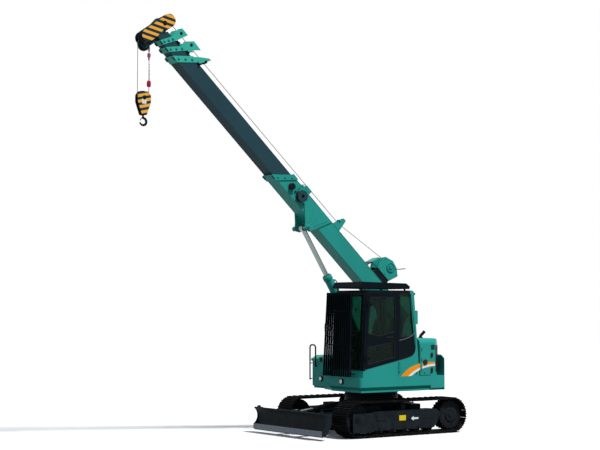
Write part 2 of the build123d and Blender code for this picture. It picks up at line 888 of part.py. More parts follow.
louvre_rows = 14
louvre_low, louvre_high = 1140.0, 1625.0
louvre_start, louvre_end = 127.0, 138.0
with BuildPart() as louvre:
    with BuildSketch(Plane.XY.offset(louvre_low)):
        Circle(bay_radius + 8)
        Circle(bay_radius + seat, mode=Mode.SUBTRACT)
        with BuildLine():
            reach = 2 * bay_radius
            Polyline(
                (0, 0),
                (reach * cos(radians(louvre_start)), reach * sin(radians(louvre_start))),
                (reach * cos(radians(louvre_end)), reach * sin(radians(louvre_end))),
                close=True,
            )
        make_face(mode=Mode.INTERSECT)
    extrude(amount=louvre_high - louvre_low)
    pitch = (louvre_high - louvre_low) / louvre_rows
    for row in range(louvre_rows):
        with BuildSketch(Plane.XY.offset(louvre_low + (row + 0.5) * pitch)):
            Circle(bay_radius + 16)
            Circle(bay_radius + 7, mode=Mode.SUBTRACT)
            with BuildLine():
                Polyline(
                    (0, 0),
                    (reach * cos(radians(louvre_start + 0.4)), reach * sin(radians(louvre_start + 0.4))),
                    (reach * cos(radians(louvre_end - 0.4)), reach * sin(radians(louvre_end - 0.4))),
                    close=True,
                )
            make_face(mode=Mode.INTERSECT)
        extrude(amount=pitch * 0.5)
save(louvre, "louvre")

with BuildPart() as fuel_tank:
    with BuildSketch(Plane.XY.offset(deck_top)):
        with Locations(((weight_front + box_rear) / 2, (side_right + well_right) / 2)):
            Rectangle(box_rear - weight_front, well_right - side_right)
    extrude(amount=tank_top - deck_top)
    fillet(fuel_tank.edges().filter_by(Axis.X).sort_by(Axis.Z)[-2:].sort_by(Axis.Y)[0], 90)
    with BuildSketch(Plane.XY.offset(tank_top)):
        with Locations((box_rear - 200, well_right - 150)):
            Circle(45)
    extrude(amount=35)
save(fuel_tank, "fuel_tank")

lid_hinges = (-820.0, -520.0)
lid_line = Plane(origin=(box_rear + 20, 0, box_top + lid_rise), x_dir=(1, 0, 0), z_dir=(0, -1, 0))
with BuildPart() as tool_box:
    with BuildSketch(Plane.XY.offset(deck_top)):
        with Locations(((box_front + box_rear) / 2, (side_right + well_right) / 2)):
            Rectangle(box_front - box_rear, well_right - side_right)
    extrude(amount=box_top - deck_top)
    fillet(tool_box.edges().filter_by(Axis.Z).sort_by(Axis.X)[-2:].sort_by(Axis.Y)[0], box_round)
    with BuildSketch(Plane.XY.offset(deck_top + 60)):
        with Locations(((box_front + box_rear) / 2, (side_right + well_right) / 2)):
            inside = Rectangle(box_front - box_rear - 2 * box_wall, well_right - side_right - 2 * box_wall)
        fillet(inside.vertices().group_by(Axis.X)[-1].sort_by(Axis.Y)[0], box_round - box_wall)
    extrude(amount=box_top - deck_top, mode=Mode.SUBTRACT)
    for place in lid_hinges:
        with BuildSketch(Plane.XY.offset(box_top - 20)):
            with Locations((box_rear + 8, place)):
                Rectangle(8, hinge_length)
        extrude(amount=lid_rise + 20)
        add(knuckle(lid_line.offset(-place), -hinge_length / 2, hinge_length, False))
        with BuildSketch(lid_line.offset(-place)):
            Circle(hinge_pin_radius)
        extrude(amount=1.5 * hinge_length)
save(tool_box, "tool_box")

with BuildPart() as tool_box_lid:
    with BuildSketch(side((side_right + well_right) / 2)):
        with BuildLine():
            Polyline(
                (box_front, box_top + seat),
                (box_front, box_top + 45),
                (box_front - 130, box_top + lid_rise),
                (box_rear + 40, box_top + lid_rise),
                (box_rear + 20, box_top + lid_rise - 20),
                (box_rear + 20, box_top + seat),
                close=True,
            )
        make_face()
    extrude(amount=(well_right - side_right) / 2, both=True)
    with BuildSketch(side((side_right + well_right) / 2)):
        with BuildLine():
            Polyline(
                (box_front - box_wall, box_top),
                (box_front - box_wall, box_top + 40),
                (box_front - 135, box_top + lid_rise - box_wall),
                (box_rear + 52, box_top + lid_rise - box_wall),
                (box_rear + 32, box_top + lid_rise - 30),
                (box_rear + 32, box_top),
                close=True,
            )
        make_face()
    extrude(amount=(well_right - side_right) / 2 - box_wall, both=True, mode=Mode.SUBTRACT)
    for place in lid_hinges:
        hinge_line = lid_line.offset(-place + hinge_length / 2 + hinge_gap)
        with BuildSketch(hinge_line):
            Circle(hinge_radius)
            with Locations((10, -6)):
                Rectangle(20, 10)
            Circle(hinge_pin_radius + running, mode=Mode.SUBTRACT)
        extrude(amount=hinge_length)
save(tool_box_lid, "tool_box_lid")

lamp_radius = 38.0
with BuildPart() as work_lamps:
    for lamp_y, lamp_x, lamp_z in ((460, base_front, 985), (-640, box_front, 985)):
        with BuildSketch(Plane(origin=(lamp_x + seat, lamp_y, lamp_z), z_dir=(1, 0, 0))):
            Circle(lamp_radius)
        extrude(amount=26)
save(work_lamps, "work_lamps")

rail_radius = 14.0
rail_x = box_front + 35
rail_outer = side_right + 10
rail_inner = rail_outer + 182
rail_top = 1616.0
rail_foot = 950.0
rail_low = 1200.0
with BuildPart() as handrail:
    with BuildLine(Plane.YZ.offset(rail_x)) as rail_path:
        FilletPolyline(
            (rail_outer, rail_foot),
            (rail_outer, rail_top),
            (rail_inner, rail_top),
            (rail_inner, rail_low),
            radius=60,
        )
    with BuildSketch(Plane(origin=rail_path.line @ 0, z_dir=rail_path.line % 0)):
        Circle(rail_radius)
    sweep()
    for y, z in ((rail_outer + 16, 975), (rail_outer + 16, 1270), (rail_inner, 1215)):
        add(rod(Vector(box_front + seat, y, z), Vector(rail_x, y, z), rail_radius - 4))
save(handrail, "handrail")

# ================================================================ cab
def cab_x(z, front, inset=0.0):
    """x of the cab's front or rear face at height z, moved inwards by inset."""
    share = (z - cab_bottom) / (cab_top - cab_bottom)
    low, high = (cab_front_bottom, cab_front_top) if front else (cab_rear_bottom, cab_rear_top)
    return low + (high - low) * share + (-inset if front else inset)


def door_hinge(z, shift=0.0):
    """Plane across the door's leaning hinge line at height z, shifted along the line."""
    lean = (door_front_top - door_front_bottom) / (door_top - door_bottom)
    x = door_front_bottom + lean * (z - door_bottom) + door_hinge_reach
    return Plane(origin=(x, door_hinge_y, z), x_dir=(1, 0, -lean), z_dir=(lean, 0, 1)).offset(shift)


cab_middle = (cab_left + cab_right) / 2
cab_width = cab_left - cab_right
door_edge = 6.0
glass_inset = (cab_wall - pane) / 2


def cab_outline(inset):
    return [
        (cab_x(cab_bottom + inset, True, inset), cab_bottom + inset),
        (cab_x(cab_top - inset, True, inset), cab_top - inset),
        (cab_x(cab_top - inset, False, inset), cab_top - inset),
        (cab_x(cab_bottom + inset, False, inset), cab_bottom + inset),
    ]


def door_outline(grow):
    return [
        (door_front_bottom + grow, door_bottom - grow),
        (door_front_top + grow, door_top + grow),
        (door_rear - grow, door_top + grow),
        (door_rear - grow, door_bottom + door_sill_rise - grow),
    ]


# Side windows, each a list of corners in x and z.
quarter_window = [(118, 1790), (118, 2580), (-125, 2580), (-185, 1790)]
right_window = [(cab_x(1500, True, 140), 1500), (cab_x(2560, True, 120), 2540), (-90, 2540), (-160, 1500)]
door_upper_window = [(862, 1860), (795, 2510), (235, 2510), (235, 1890), (600, 1810)]
door_lower_window = [(868, 1300), (868, 1606), (255, 1706), (255, 1425)]
front_window_low, front_window_high = 1210.0, 2560.0
rear_window_low, rear_window_high = 1780.0, 2540.0
window_side = 75.0


def outline_face(points, shrink=0.0, round_corner=0.0):
    """A closed outline in the current sketch, shrunk evenly and with rounded corners."""
    with BuildSketch(mode=Mode.PRIVATE) as face:
        with BuildLine():
            Polyline(*points, close=True)
        make_face()
        if round_corner:
            fillet(face.vertices(), radius=round_corner)
        if shrink:
            offset(amount=-shrink, kind=Kind.INTERSECTION, mode=Mode.REPLACE)
    return face.sketch


def rear_vent():
    """The air inlet's box on the rear wall, cut to the wall it stands on."""
    with BuildPart(mode=Mode.PRIVATE) as box:
        with BuildSketch(Plane.XY.offset(vent_low)):
            with Locations((cab_x(vent_low, False) - vent_depth / 2 + 25, cab_left - 20 - vent_width / 2)):
                RectangleRounded(vent_depth, vent_width, 12)
        extrude(amount=vent_height)
        with BuildSketch(side(cab_middle)):
            add(outline_face(cab_outline(glass_inset / 2)))
        extrude(amount=cab_width / 2, both=True, mode=Mode.SUBTRACT)
    return box.part


with BuildPart() as cab_shell:
    with BuildSketch(side(cab_middle)):
        add(outline_face(cab_outline(0)))
    extrude(amount=cab_width / 2, both=True)
    fillet(cab_shell.edges().filter_by(Axis.Y).sort_by(Axis.Z)[-2:], 60)
    with BuildSketch(side(cab_middle)):
        add(outline_face(cab_outline(cab_wall)))
    extrude(amount=cab_width / 2 - cab_wall, both=True, mode=Mode.SUBTRACT)
    with BuildSketch(side(cab_left)):
        add(outline_face(door_outline(door_edge), 0, door_round))
        add(outline_face(quarter_window, 0, 40))
    extrude(amount=cab_wall + 1, mode=Mode.SUBTRACT)
    with BuildSketch(side(cab_right)):
        add(outline_face(right_window, 0, 40))
    extrude(amount=-cab_wall - 1, mode=Mode.SUBTRACT)
    with BuildSketch(Plane.YZ.offset(cab_front_top - 100)):
        with Locations((cab_middle, (front_window_low + front_window_high) / 2)):
            RectangleRounded(cab_width - 2 * window_side, front_window_high - front_window_low, 40)
    extrude(amount=300, mode=Mode.SUBTRACT)
    with BuildSketch(Plane.YZ.offset(cab_rear_top + 60)):
        with Locations((cab_middle, (rear_window_low + rear_window_high) / 2)):
            RectangleRounded(cab_width - 2 * window_side, rear_window_high - rear_window_low, 40)
    extrude(amount=-300, mode=Mode.SUBTRACT)
    add(rear_vent())
    for hinge_z in door_hinge_heights:
        with BuildSketch(door_hinge(hinge_z, -door_knuckle_length / 2 - seat)):
            Circle(door_knuckle_radius)
            with Locations((door_knuckle_radius - 4, (cab_left - door_hinge_y) / 2 - 3)):
                Rectangle(2 * door_knuckle_radius - 8, door_hinge_y - cab_left + 6)
        extrude(amount=-16)
        with BuildSketch(door_hinge(hinge_z, -door_knuckle_length / 2 - 5)):
            Circle(door_pin_radius)
        extrude(amount=door_knuckle_length + 10)
save(cab_shell, "cab_shell")



def end_pane(front, low, high):
    """The leaning pane of the front or rear window."""
    with BuildPart(mode=Mode.PRIVATE) as slab:
        with BuildSketch(side(cab_middle)):
            with BuildLine():
                Polyline(
                    (cab_x(low, front, glass_inset), low),
                    (cab_x(high, front, glass_inset), high),
                    (cab_x(high, front, glass_inset + pane), high),
                    (cab_x(low, front, glass_inset + pane), low),
                    close=True,
                )
            make_face()
        extrude(amount=cab_width / 2, both=True)
        with BuildSketch(Plane.YZ):
            with Locations((cab_middle, (low + high) / 2)):
                RectangleRounded(cab_width - 2 * window_side - 2 * seat, high - low - 2 * seat, 40)
        extrude(amount=2 * cab_front_bottom, both=True, mode=Mode.INTERSECT)
    return slab.part


with BuildPart() as cab_glass:
    with BuildSketch(side(cab_left - glass_inset)):
        add(outline_face(quarter_window, seat, 40))
    extrude(amount=pane)
    with BuildSketch(side(cab_right + glass_inset)):
        add(outline_face(right_window, seat, 40))
    extrude(amount=-pane)
    add(end_pane(True, front_window_low, front_window_high))
    add(end_pane(False, rear_window_low, rear_window_high))
save(cab_glass, "cab_glass")

with BuildPart() as cab_door:
    with BuildSketch(side(cab_left)):
        add(outline_face(door_outline(0), 0, door_round))
        add(outline_face(door_upper_window, 0, 30), mode=Mode.SUBTRACT)
        add(outline_face(door_lower_window, 0, 30), mode=Mode.SUBTRACT)
    extrude(amount=cab_wall)
    for hinge_z in door_hinge_heights:
        with BuildSketch(door_hinge(hinge_z, -door_knuckle_length / 2)):
            Circle(door_knuckle_radius)
            with Locations((-45, (cab_left - door_hinge_y) / 2 - 1)):
                Rectangle(90, door_hinge_y - cab_left - 2)
            Circle(door_pin_radius + running, mode=Mode.SUBTRACT)
        extrude(amount=door_knuckle_length)
    with BuildSketch(side(cab_left)):
        with Locations((door_rear + 190, 1760)):
            RectangleRounded(150, 40, 15)
    extrude(amount=-22)
save(cab_door, "cab_door")

with BuildPart() as door_glass:
    with BuildSketch(side(cab_left - glass_inset)):
        add(outline_face(door_upper_window, seat, 30))
        add(outline_face(door_lower_window, seat, 30))
    extrude(amount=pane)
save(door_glass, "door_glass")

guard_low_z = base_top + 10
guard_high_z = cab_top - 40
guard_low_y = (30.0, 840.0)
guard_high_y = (30.0, 765.0)


def guard_point(share_across, z):
    """A point of the front guard's plane, by its share of the width and its height."""
    share = (z - guard_low_z) / (guard_high_z - guard_low_z)
    right = guard_low_y[0] + (guard_high_y[0] - guard_low_y[0]) * share
    left = guard_low_y[1] + (guard_high_y[1] - guard_low_y[1]) * share
    return Vector(cab_x(z, True) + guard_gap, right + (left - right) * share_across, z)


def flat_bar(foot, head):
    """A flat bar set on edge, from foot to head."""
    with BuildPart(mode=Mode.PRIVATE) as bar:
        with BuildSketch(Plane(origin=foot, x_dir=(0, 1, 0), z_dir=head - foot)):
            Rectangle(guard_bar_width, guard_bar_depth)
        extrude(amount=(head - foot).length)
    return bar.part


with BuildPart() as front_guard:
    for bar in range(guard_bars):
        share = bar / (guard_bars - 1)
        add(flat_bar(guard_point(share, guard_low_z), guard_point(share, guard_high_z)))
    for z in (guard_low_z + 15, 1650, 2260, guard_high_z - 15):
        add(rod(guard_point(0, z), guard_point(1, z), guard_brace))
    for z in (1130, guard_high_z - 60):
        for share in (0.12, 0.92):
            start = guard_point(share, z)
            add(rod(Vector(cab_x(z, True) + 3 * seat, start.Y, z), start, guard_brace))
save(front_guard, "cab_front_guard")

with BuildPart() as roof_guard:
    with BuildSketch(side(cab_middle)):
        with BuildLine():
            Polyline(
                (985, roof_guard_bottom + 10), (1000, roof_guard_bottom + 40), (940, roof_guard_top),
                (-60, roof_guard_top - 20),
                (-150, roof_guard_bottom + 50),
                (-140, roof_guard_bottom),
                close=True,
            )
        make_face()
    extrude(amount=425, both=True)
    with BuildSketch(Plane.XY.offset(roof_guard_bottom - 20)):
        with Locations((420, cab_middle)):
            Rectangle(940, 740)
    extrude(amount=300, mode=Mode.SUBTRACT)
    with BuildSketch(Plane.XY.offset(roof_guard_bottom + 40)):
        with Locations((420, cab_middle)):
            with GridLocations(1, 92, 1, 7):
                Rectangle(950, 26)
    extrude(amount=40)
    with BuildSketch(Plane.XY.offset(cab_top + seat)):
        with Locations((420, cab_middle)):
            with GridLocations(1010, 700, 2, 2):
                Circle(18)
    extrude(amount=roof_guard_bottom - cab_top + 30)
save(roof_guard, "cab_roof_guard")

floor_z = cab_bottom + cab_wall
# columns: x and height over the floor, round the seat's side from its front lower corner
seat_stand = 330.0
seat_profile = [(400, seat_stand + seat), (400, 440), (20, 420), (-90, 1020), (-190, 1000), (-80, seat_stand + seat)]
seat_width = 470.0
with BuildPart() as operator_seat:
    with BuildSketch(side(cab_middle)):
        with BuildLine():
            Polyline(*[(x, floor_z + height) for x, height in seat_profile], close=True)
        make_face()
    extrude(amount=seat_width / 2, both=True)
save(operator_seat, "operator_seat")

# columns: x, y beside the cab's middle, length, width and height of each box that stands on the cab's floor
console_table = [
    (150, 0, 440, 460, seat_stand),
    (330, 315, 420, 130, 520),
    (330, -315, 420, 130, 560),
    (780, -200, 120, 260, 780),
]
lever_places = (420, 490)
lever_lean, lever_length, lever_radius = 40, 170, 13
with BuildPart() as console:
    for x, y, length, width, height in console_table:
        with BuildSketch(Plane.XY.offset(floor_z)):
            with Locations((x, cab_middle + y)):
                RectangleRounded(length, width, 30)
        extrude(amount=height)
    for x, y, length, width, height in console_table[1:3]:
        for place in lever_places:
            foot = Vector(place, cab_middle + y, floor_z + height - 5)
            add(rod(foot, foot + Vector(lever_lean, 0, lever_length + 5), lever_radius))
save(console, "controls")

# ================================================================ boom
def tube(front, rear, height, width, wall, skew=0.0):
    """A rectangular tube along the boom, its front end skewed forward at the bottom."""
    low, high = boom_middle - height / 2, boom_middle + height / 2
    with BuildPart(mode=Mode.PRIVATE) as box:
        with BuildSketch(boom_side()):
            with BuildLine():
                Polyline((rear, low), (front, low), (front - skew, high), (rear, high), close=True)
            make_face()
        extrude(amount=width / 2, both=True)
        with BuildSketch(boom_side()):
            with Locations(((front + rear) / 2, boom_middle)):
                Rectangle(front - rear + 100, height - 2 * wall)
        extrude(amount=width / 2 - wall, both=True, mode=Mode.SUBTRACT)
    return box.part


def collar(front, height, width, plate, length, slope, gap=-1.0):
    """The thicker frame round a section's mouth, which slopes back; the gap is to the tube inside it."""
    low, high = boom_middle - height / 2, boom_middle + height / 2
    skew = slope * height
    with BuildPart(mode=Mode.PRIVATE) as frame:
        with BuildSketch(boom_side()):
            with BuildLine():
                Polyline(
                    (front - length, low - plate),
                    (front, low - plate),
                    (front - skew, high + plate),
                    (front - length - skew, high + plate),
                    close=True,
                )
            make_face()
        extrude(amount=width / 2 + plate, both=True)
        with BuildSketch(boom_side()):
            with Locations((front - length, boom_middle)):
                Rectangle(6 * height, height + 2 * gap)
        extrude(amount=width / 2 + gap, both=True, mode=Mode.SUBTRACT)
    return frame.part


def pads(along, height, width, depth):
    """Four wear pads round a tube, standing out from it by depth and a little into its wall."""
    with BuildPart(mode=Mode.PRIVATE) as blocks:
        for across in (-1, 1):
            with BuildSketch(boom_side()):
                with Locations((along, boom_middle + across * (height + depth - 1) / 2)):
                    Rectangle(pad_length, depth + 1)
            extrude(amount=width / 2 - 25, both=True)
        for face in (-1, 1):
            with BuildSketch(boom_side(boom_y + face * (width + depth - 1) / 2)):
                with Locations((along, boom_middle)):
                    Rectangle(pad_length, height - 50)
            extrude(amount=(depth + 1) / 2, both=True)
    return blocks.part


guide_along = lift_pin_along - guide_set_back
reel_along, reel_across = boom_front - reel_set_back, boom_bottom + reel_height
with BuildPart() as boom_base:
    add(tube(boom_front, boom_rear, boom_height, boom_width, boom_wall, mouth_slope * boom_height))
    add(collar(boom_front, boom_height, boom_width, collar_plate, collar_length, mouth_slope))
    with BuildSketch(boom_side()):
        with BuildLine():
            Polyline(
                (boom_rear + 20, boom_bottom + 1),
                (pivot_along - 90, pivot_across),
                (pivot_along, pivot_across - 70),
                (pivot_along + 90, pivot_across),
                (pivot_along + 330, boom_bottom + 1),
                close=True,
            )
        make_face()
        with Locations((pivot_along, pivot_across)):
            Circle(boom_foot_radius)
            Circle(boom_pin_radius + running, mode=Mode.SUBTRACT)
    extrude(amount=boom_foot_width / 2, both=True)
    for face in (-1, 1):
        with BuildSketch(boom_side(boom_y + face * (boom_width / 2 - lift_lug / 2 + lift_lug))):
            with BuildLine():
                Polyline(
                    (lift_pin_along - 310, boom_crown - 15),
                    (lift_pin_along - 70, lift_pin_across - 30),
                    (lift_pin_along + 40, lift_pin_across - 60),
                    (lift_pin_along + 120, lift_pin_across + 40),
                    (lift_pin_along + 370, boom_bottom + 120),
                    (lift_pin_along + 20, boom_crown - 15),
                    close=True,
                )
            make_face()
        extrude(amount=lift_lug / 2, both=True)
        with BuildSketch(boom_side(boom_y + face * (boom_width / 2 + lift_lug))):
            with Locations((lift_pin_along, lift_pin_across)):
                Circle(45)
        extrude(amount=face * -(boom_width / 2 + lift_lug - lift_eye_width / 2 - 8))
    for y in (-24, 24):
        with BuildSketch(boom_side(boom_y + y)):
            with BuildLine():
                Polyline(
                    (guide_along - 60, boom_crown - 1),
                    (guide_along - 35, boom_crown + guide_rise),
                    (guide_along + 35, boom_crown + guide_rise),
                    (guide_along + 170, boom_crown - 1),
                    close=True,
                )
            make_face()
        extrude(amount=5, both=True)
    with BuildSketch(boom_side()):
        with Locations((guide_along + 65, boom_crown + guide_roller_rise)):
            Circle(guide_roller_radius)
    extrude(amount=25, both=True)
    with BuildSketch(boom_side()):
        with Locations((reel_along - 25, boom_crown + 44)):
            Rectangle(190, 90)
    extrude(amount=50, both=True)
    with BuildSketch(boom_side(boom_y + boom_width / 2 - 1)):
        with Locations((reel_along + 150, boom_crown - 95)):
            Rectangle(26, 170)
    extrude(amount=-36)
    for face in (-1, 1):
        with BuildSketch(boom_side(boom_y + face * (boom_width / 2 - 20))):
            with Locations((reel_along + 320, boom_crown + 15)):
                Rectangle(120, 40)
        extrude(amount=14, both=True)
save(boom_base, "boom_base")

head_front = boom_front + section_table[-1][5]


def boom_head():
    """Cheek plates and axles that carry the rope sheaves in front of the last section."""
    with BuildPart(mode=Mode.PRIVATE) as head:
        for face in (-1, 1):
            with BuildSketch(boom_side(boom_y + face * (sheave_width / 2 + cheek_gap + head_plate / 2))):
                with BuildLine():
                    Polyline(
                        (head_front - 70, boom_middle - 90),
                        (head_low_along - 60, head_low_across - 70),
                        (head_low_along + 60, head_low_across - 70),
                        (head_low_along + 150, head_low_across + 60),
                        (head_low_along + 150, head_high_across - 40),
                        (head_low_along + 60, head_high_across + 50),
                        (head_low_along - 60, head_high_across + 50),
                        (head_front - 70, boom_middle + 90),
                        close=True,
                    )
                make_face()
            extrude(amount=head_plate / 2, both=True)
        with BuildSketch(boom_side()):
            with Locations((head_front - 14, boom_middle)):
                Rectangle(28, 150)
        extrude(amount=80, both=True)
        for across in (head_low_across, head_high_across):
            with BuildSketch(boom_side()):
                with Locations((head_low_along, across)):
                    Circle(22)
            extrude(amount=sheave_width / 2 + cheek_gap + head_plate, both=True)
    return head.part


# A section slides in the one before it: its rear pads touch that one's walls at the running gap.
outer_height, outer_width, outer_wall = boom_height, boom_width, boom_wall
for label, width, height, wall, rear_reach, front_reach, slope in section_table:
    last = label == section_table[-1][0]
    rear, front = boom_front + rear_reach, boom_front + front_reach
    with BuildPart() as section:
        add(tube(front, rear, height, width, wall, slope * height))
        depth = (outer_height - 2 * outer_wall - height) / 2 - seat
        add(pads(rear + pad_length / 2 + 20, height, width, depth))
        if last:
            add(boom_head())
    save(section, label)
    outer_height, outer_width, outer_wall = height, width, wall

for section_row, collar_row in zip(section_table, collar_table):
    width, height, front, slope = section_row[1], section_row[2], boom_front + section_row[5], section_row[6]
    label, length, *fin, pin_run = collar_row
    crown = boom_middle + height / 2
    fin_face = width / 2 + seat + fin_plate / 2
    with BuildPart() as section_collar:
        add(collar(front, height, width, fin_plate + seat, length, slope, seat))
        for face in (-1, 1):
            with BuildSketch(boom_side(boom_y + face * fin_face)):
                with BuildLine():
                    Polyline(*[(front - run, crown + rise) for run, rise in fin], close=True)
                make_face()
            extrude(amount=fin_plate / 2, both=True)
        with BuildSketch(boom_side()):
            with Locations((front - pin_run, rope_rise - rope_radius - seat - fin_pin_radius)):
                Circle(fin_pin_radius)
        extrude(amount=fin_face, both=True)
    save(section_collar, label)

guard_depth = 40.0
guard_radius = 115.0
guard_low = (head_low_along + 85, head_low_across + 70)
guard_high = (head_low_along - 35, head_high_across + 113)
guard_centre = ((guard_low[0] + guard_high[0]) / 2, (guard_low[1] + guard_high[1]) / 2)
guard_y = sheave_width / 2 + cheek_gap + head_plate + guard_depth / 2
with BuildPart() as head_guards:
    for face in (-1, 1):
        with BuildSketch(boom_side(boom_y + face * guard_y)):
            SlotCenterPoint(guard_centre, guard_high, 2 * guard_radius)
            with Locations((head_front + seat - 100, boom_middle)):
                Rectangle(200, section_table[-1][2] + 2 * seat, mode=Mode.SUBTRACT)
        extrude(amount=guard_depth / 2, both=True)
save(head_guards, "head_guards")


def sheave(plane, along, across, width=sheave_width, bore=22.0):
    """A grooved rope sheave on a bored hub."""
    with BuildPart(mode=Mode.PRIVATE) as wheel:
        for face in (-1, 1):
            with BuildSketch(plane):
                with Locations((along, across)):
                    Circle(sheave_radius)
                    Circle(bore + running, mode=Mode.SUBTRACT)
            extrude(amount=face * width / 2)
        with BuildSketch(plane):
            with Locations((along, across)):
                Circle(sheave_radius + 1)
                Circle(groove_radius, mode=Mode.SUBTRACT)
        extrude(amount=rope_radius + 3, both=True, mode=Mode.SUBTRACT)
    return wheel.part


with BuildPart() as head_sheaves:
    add(sheave(boom_side(), head_low_along, head_low_across))
    add(sheave(boom_side(), head_low_along, head_high_across))
save(head_sheaves, "head_sheaves")

# ---------------------------------------------------------------- winch
winch_inner = drum_width / 2 + 10
# columns: run and rise from the drum's axis, round one side plate
winch_outline = [(-150, -220), (-245, -5), (-120, 95), (40, 130), (220, 65), (310, -49), (220, -220)]
with BuildPart() as winch_frame:
    for face in (-1, 1):
        with BuildSketch(boom_side(boom_y + face * (winch_inner + winch_plate / 2))):
            with BuildLine():
                Polyline(*[(winch_along + run, winch_across + rise) for run, rise in winch_outline], close=True)
            make_face()
            with Locations((winch_along, winch_across)):
                Circle(drum_axle_radius + running, mode=Mode.SUBTRACT)
        extrude(amount=winch_plate / 2, both=True)
        with BuildSketch(boom_side(boom_y + face * (winch_inner - 12))):
            with BuildLine():
                Polyline(
                    (winch_along - 165, boom_crown),
                    (winch_along - 140, winch_across - 200),
                    (winch_along + 210, winch_across - 200),
                    (winch_along + 250, boom_crown),
                    close=True,
                )
            make_face()
        extrude(amount=winch_plate, both=True)
    with BuildSketch(boom_side()):
        with Locations((winch_along + 35, winch_across - 212)):
            Rectangle(370, 16)
        with BuildLine():
            Polyline(
                (winch_along + 300, winch_across - 60),
                (winch_along + 314, winch_across - 52),
                (winch_along + 452, boom_crown + seat),
                (winch_along + 432, boom_crown + seat),
                close=True,
            )
        make_face()
    extrude(amount=winch_inner + 1, both=True)
save(winch_frame, "winch_frame")

with BuildPart() as winch_drum:
    with BuildSketch(boom_side()):
        with Locations((winch_along, winch_across)):
            Circle(drum_radius)
    extrude(amount=drum_width / 2, both=True)
    for face in (-1, 1):
        with BuildSketch(boom_side(boom_y + face * (drum_width / 2 - 5))):
            with Locations((winch_along, winch_across)):
                Circle(drum_flange_radius)
        extrude(amount=5, both=True)
    with BuildSketch(boom_side()):
        with Locations((winch_along, winch_across)):
            Circle(drum_axle_radius)
    extrude(amount=winch_inner + winch_plate + 12, both=True)
save(winch_drum, "winch_drum")

# ---------------------------------------------------------------- rope guide and hose reel on the boom
# The reel is turned in one revolve: two flanges with the hose's groove between them.
# columns: radius and height of the profile, outwards from the boom's side
reel_profile = [
    (0, 0), (1.0, 0), (1.0, 0.14), (0.72, 0.20), (0.72, 0.74), (1.0, 0.82), (1.0, 0.96), (0.55, 1.0), (0, 1.0)
]
with BuildPart() as hose_reel:
    for run, rise, radius, depth in (
        (reel_along, reel_across, reel_radius, reel_depth),
        (reel_along + 267, reel_across - 12, 62.0, 60.0),
    ):
        with BuildPart(mode=Mode.PRIVATE) as wheel:
            with BuildSketch(Plane.XZ):
                with BuildLine():
                    Polyline(*[(r * radius, h * depth) for r, h in reel_profile], close=True)
                make_face()
            revolve(axis=Axis.Z)
        stand = boom_side(boom_y + boom_width / 2 + seat).location * Location((run, rise, 0))
        add(stand * Rotation(180, 0, 0) * wheel.part)
save(hose_reel, "hose_reel")

# ---------------------------------------------------------------- lift cylinder
eye_x, eye_z = beam(lift_pin_along, lift_pin_across)
lift_run = hypot(eye_x - lift_foot_x, eye_z - lift_foot_z)
lift_axis = Plane(
    origin=(lift_foot_x, boom_y, lift_foot_z),
    x_dir=(0, 1, 0),
    z_dir=(eye_x - lift_foot_x, 0, eye_z - lift_foot_z),
)
with BuildPart() as lift_barrel:
    with BuildSketch(lift_axis):
        Circle(lift_eye_width / 2)
    extrude(amount=120)
    with BuildSketch(lift_axis.offset(100)):
        Circle(lift_barrel_radius)
    extrude(amount=lift_barrel_length - 100)
    with BuildSketch(side(boom_y)):
        with Locations((lift_foot_x, lift_foot_z)):
            Circle(75)
    extrude(amount=lift_eye_width / 2, both=True)
    with BuildSketch(side(boom_y)):
        with Locations((lift_foot_x, lift_foot_z)):
            Circle(ram_pin_radius + 10 + running)
    extrude(amount=lift_barrel_radius + 5, both=True, mode=Mode.SUBTRACT)
    with BuildSketch(lift_axis.offset(140)):
        Circle(lift_rod_radius + running)
    extrude(amount=lift_barrel_length, mode=Mode.SUBTRACT)
save(lift_barrel, "lift_barrel")

with BuildPart() as lift_rod:
    with BuildSketch(lift_axis.offset(900)):
        Circle(lift_rod_radius)
    extrude(amount=lift_run - 900 - lift_eye_radius / 2)
    with BuildSketch(side(boom_y)):
        with Locations((eye_x, eye_z)):
            Circle(lift_eye_radius)
    extrude(amount=lift_eye_width / 2, both=True)
    with BuildSketch(side(boom_y)):
        with Locations((eye_x, eye_z)):
            Circle(32)
    extrude(amount=lift_eye_width, both=True, mode=Mode.SUBTRACT)
save(lift_rod, "lift_rod")

# ---------------------------------------------------------------- rope falls, hook block and hook
sheave_x, sheave_z = beam(head_low_along, head_low_across)
fall_offset = groove_radius + rope_radius + seat
with BuildPart() as rope_falls:
    with BuildSketch(Plane.XY.offset(block_sheave_z)):
        with Locations((sheave_x, boom_y)):
            with GridLocations(2 * fall_offset, 1, 2, 1):
                Circle(rope_radius)
    extrude(amount=sheave_z - block_sheave_z)
save(rope_falls, "rope_falls")

with BuildPart() as limit_weight:
    with BuildSketch(Plane.XY.offset(block_sheave_z + limit_weight_rise)):
        with Locations((sheave_x - fall_offset, boom_y)):
            Circle(36)
            Circle(rope_radius + seat, mode=Mode.SUBTRACT)
    extrude(amount=110)
save(limit_weight, "limit_weight")

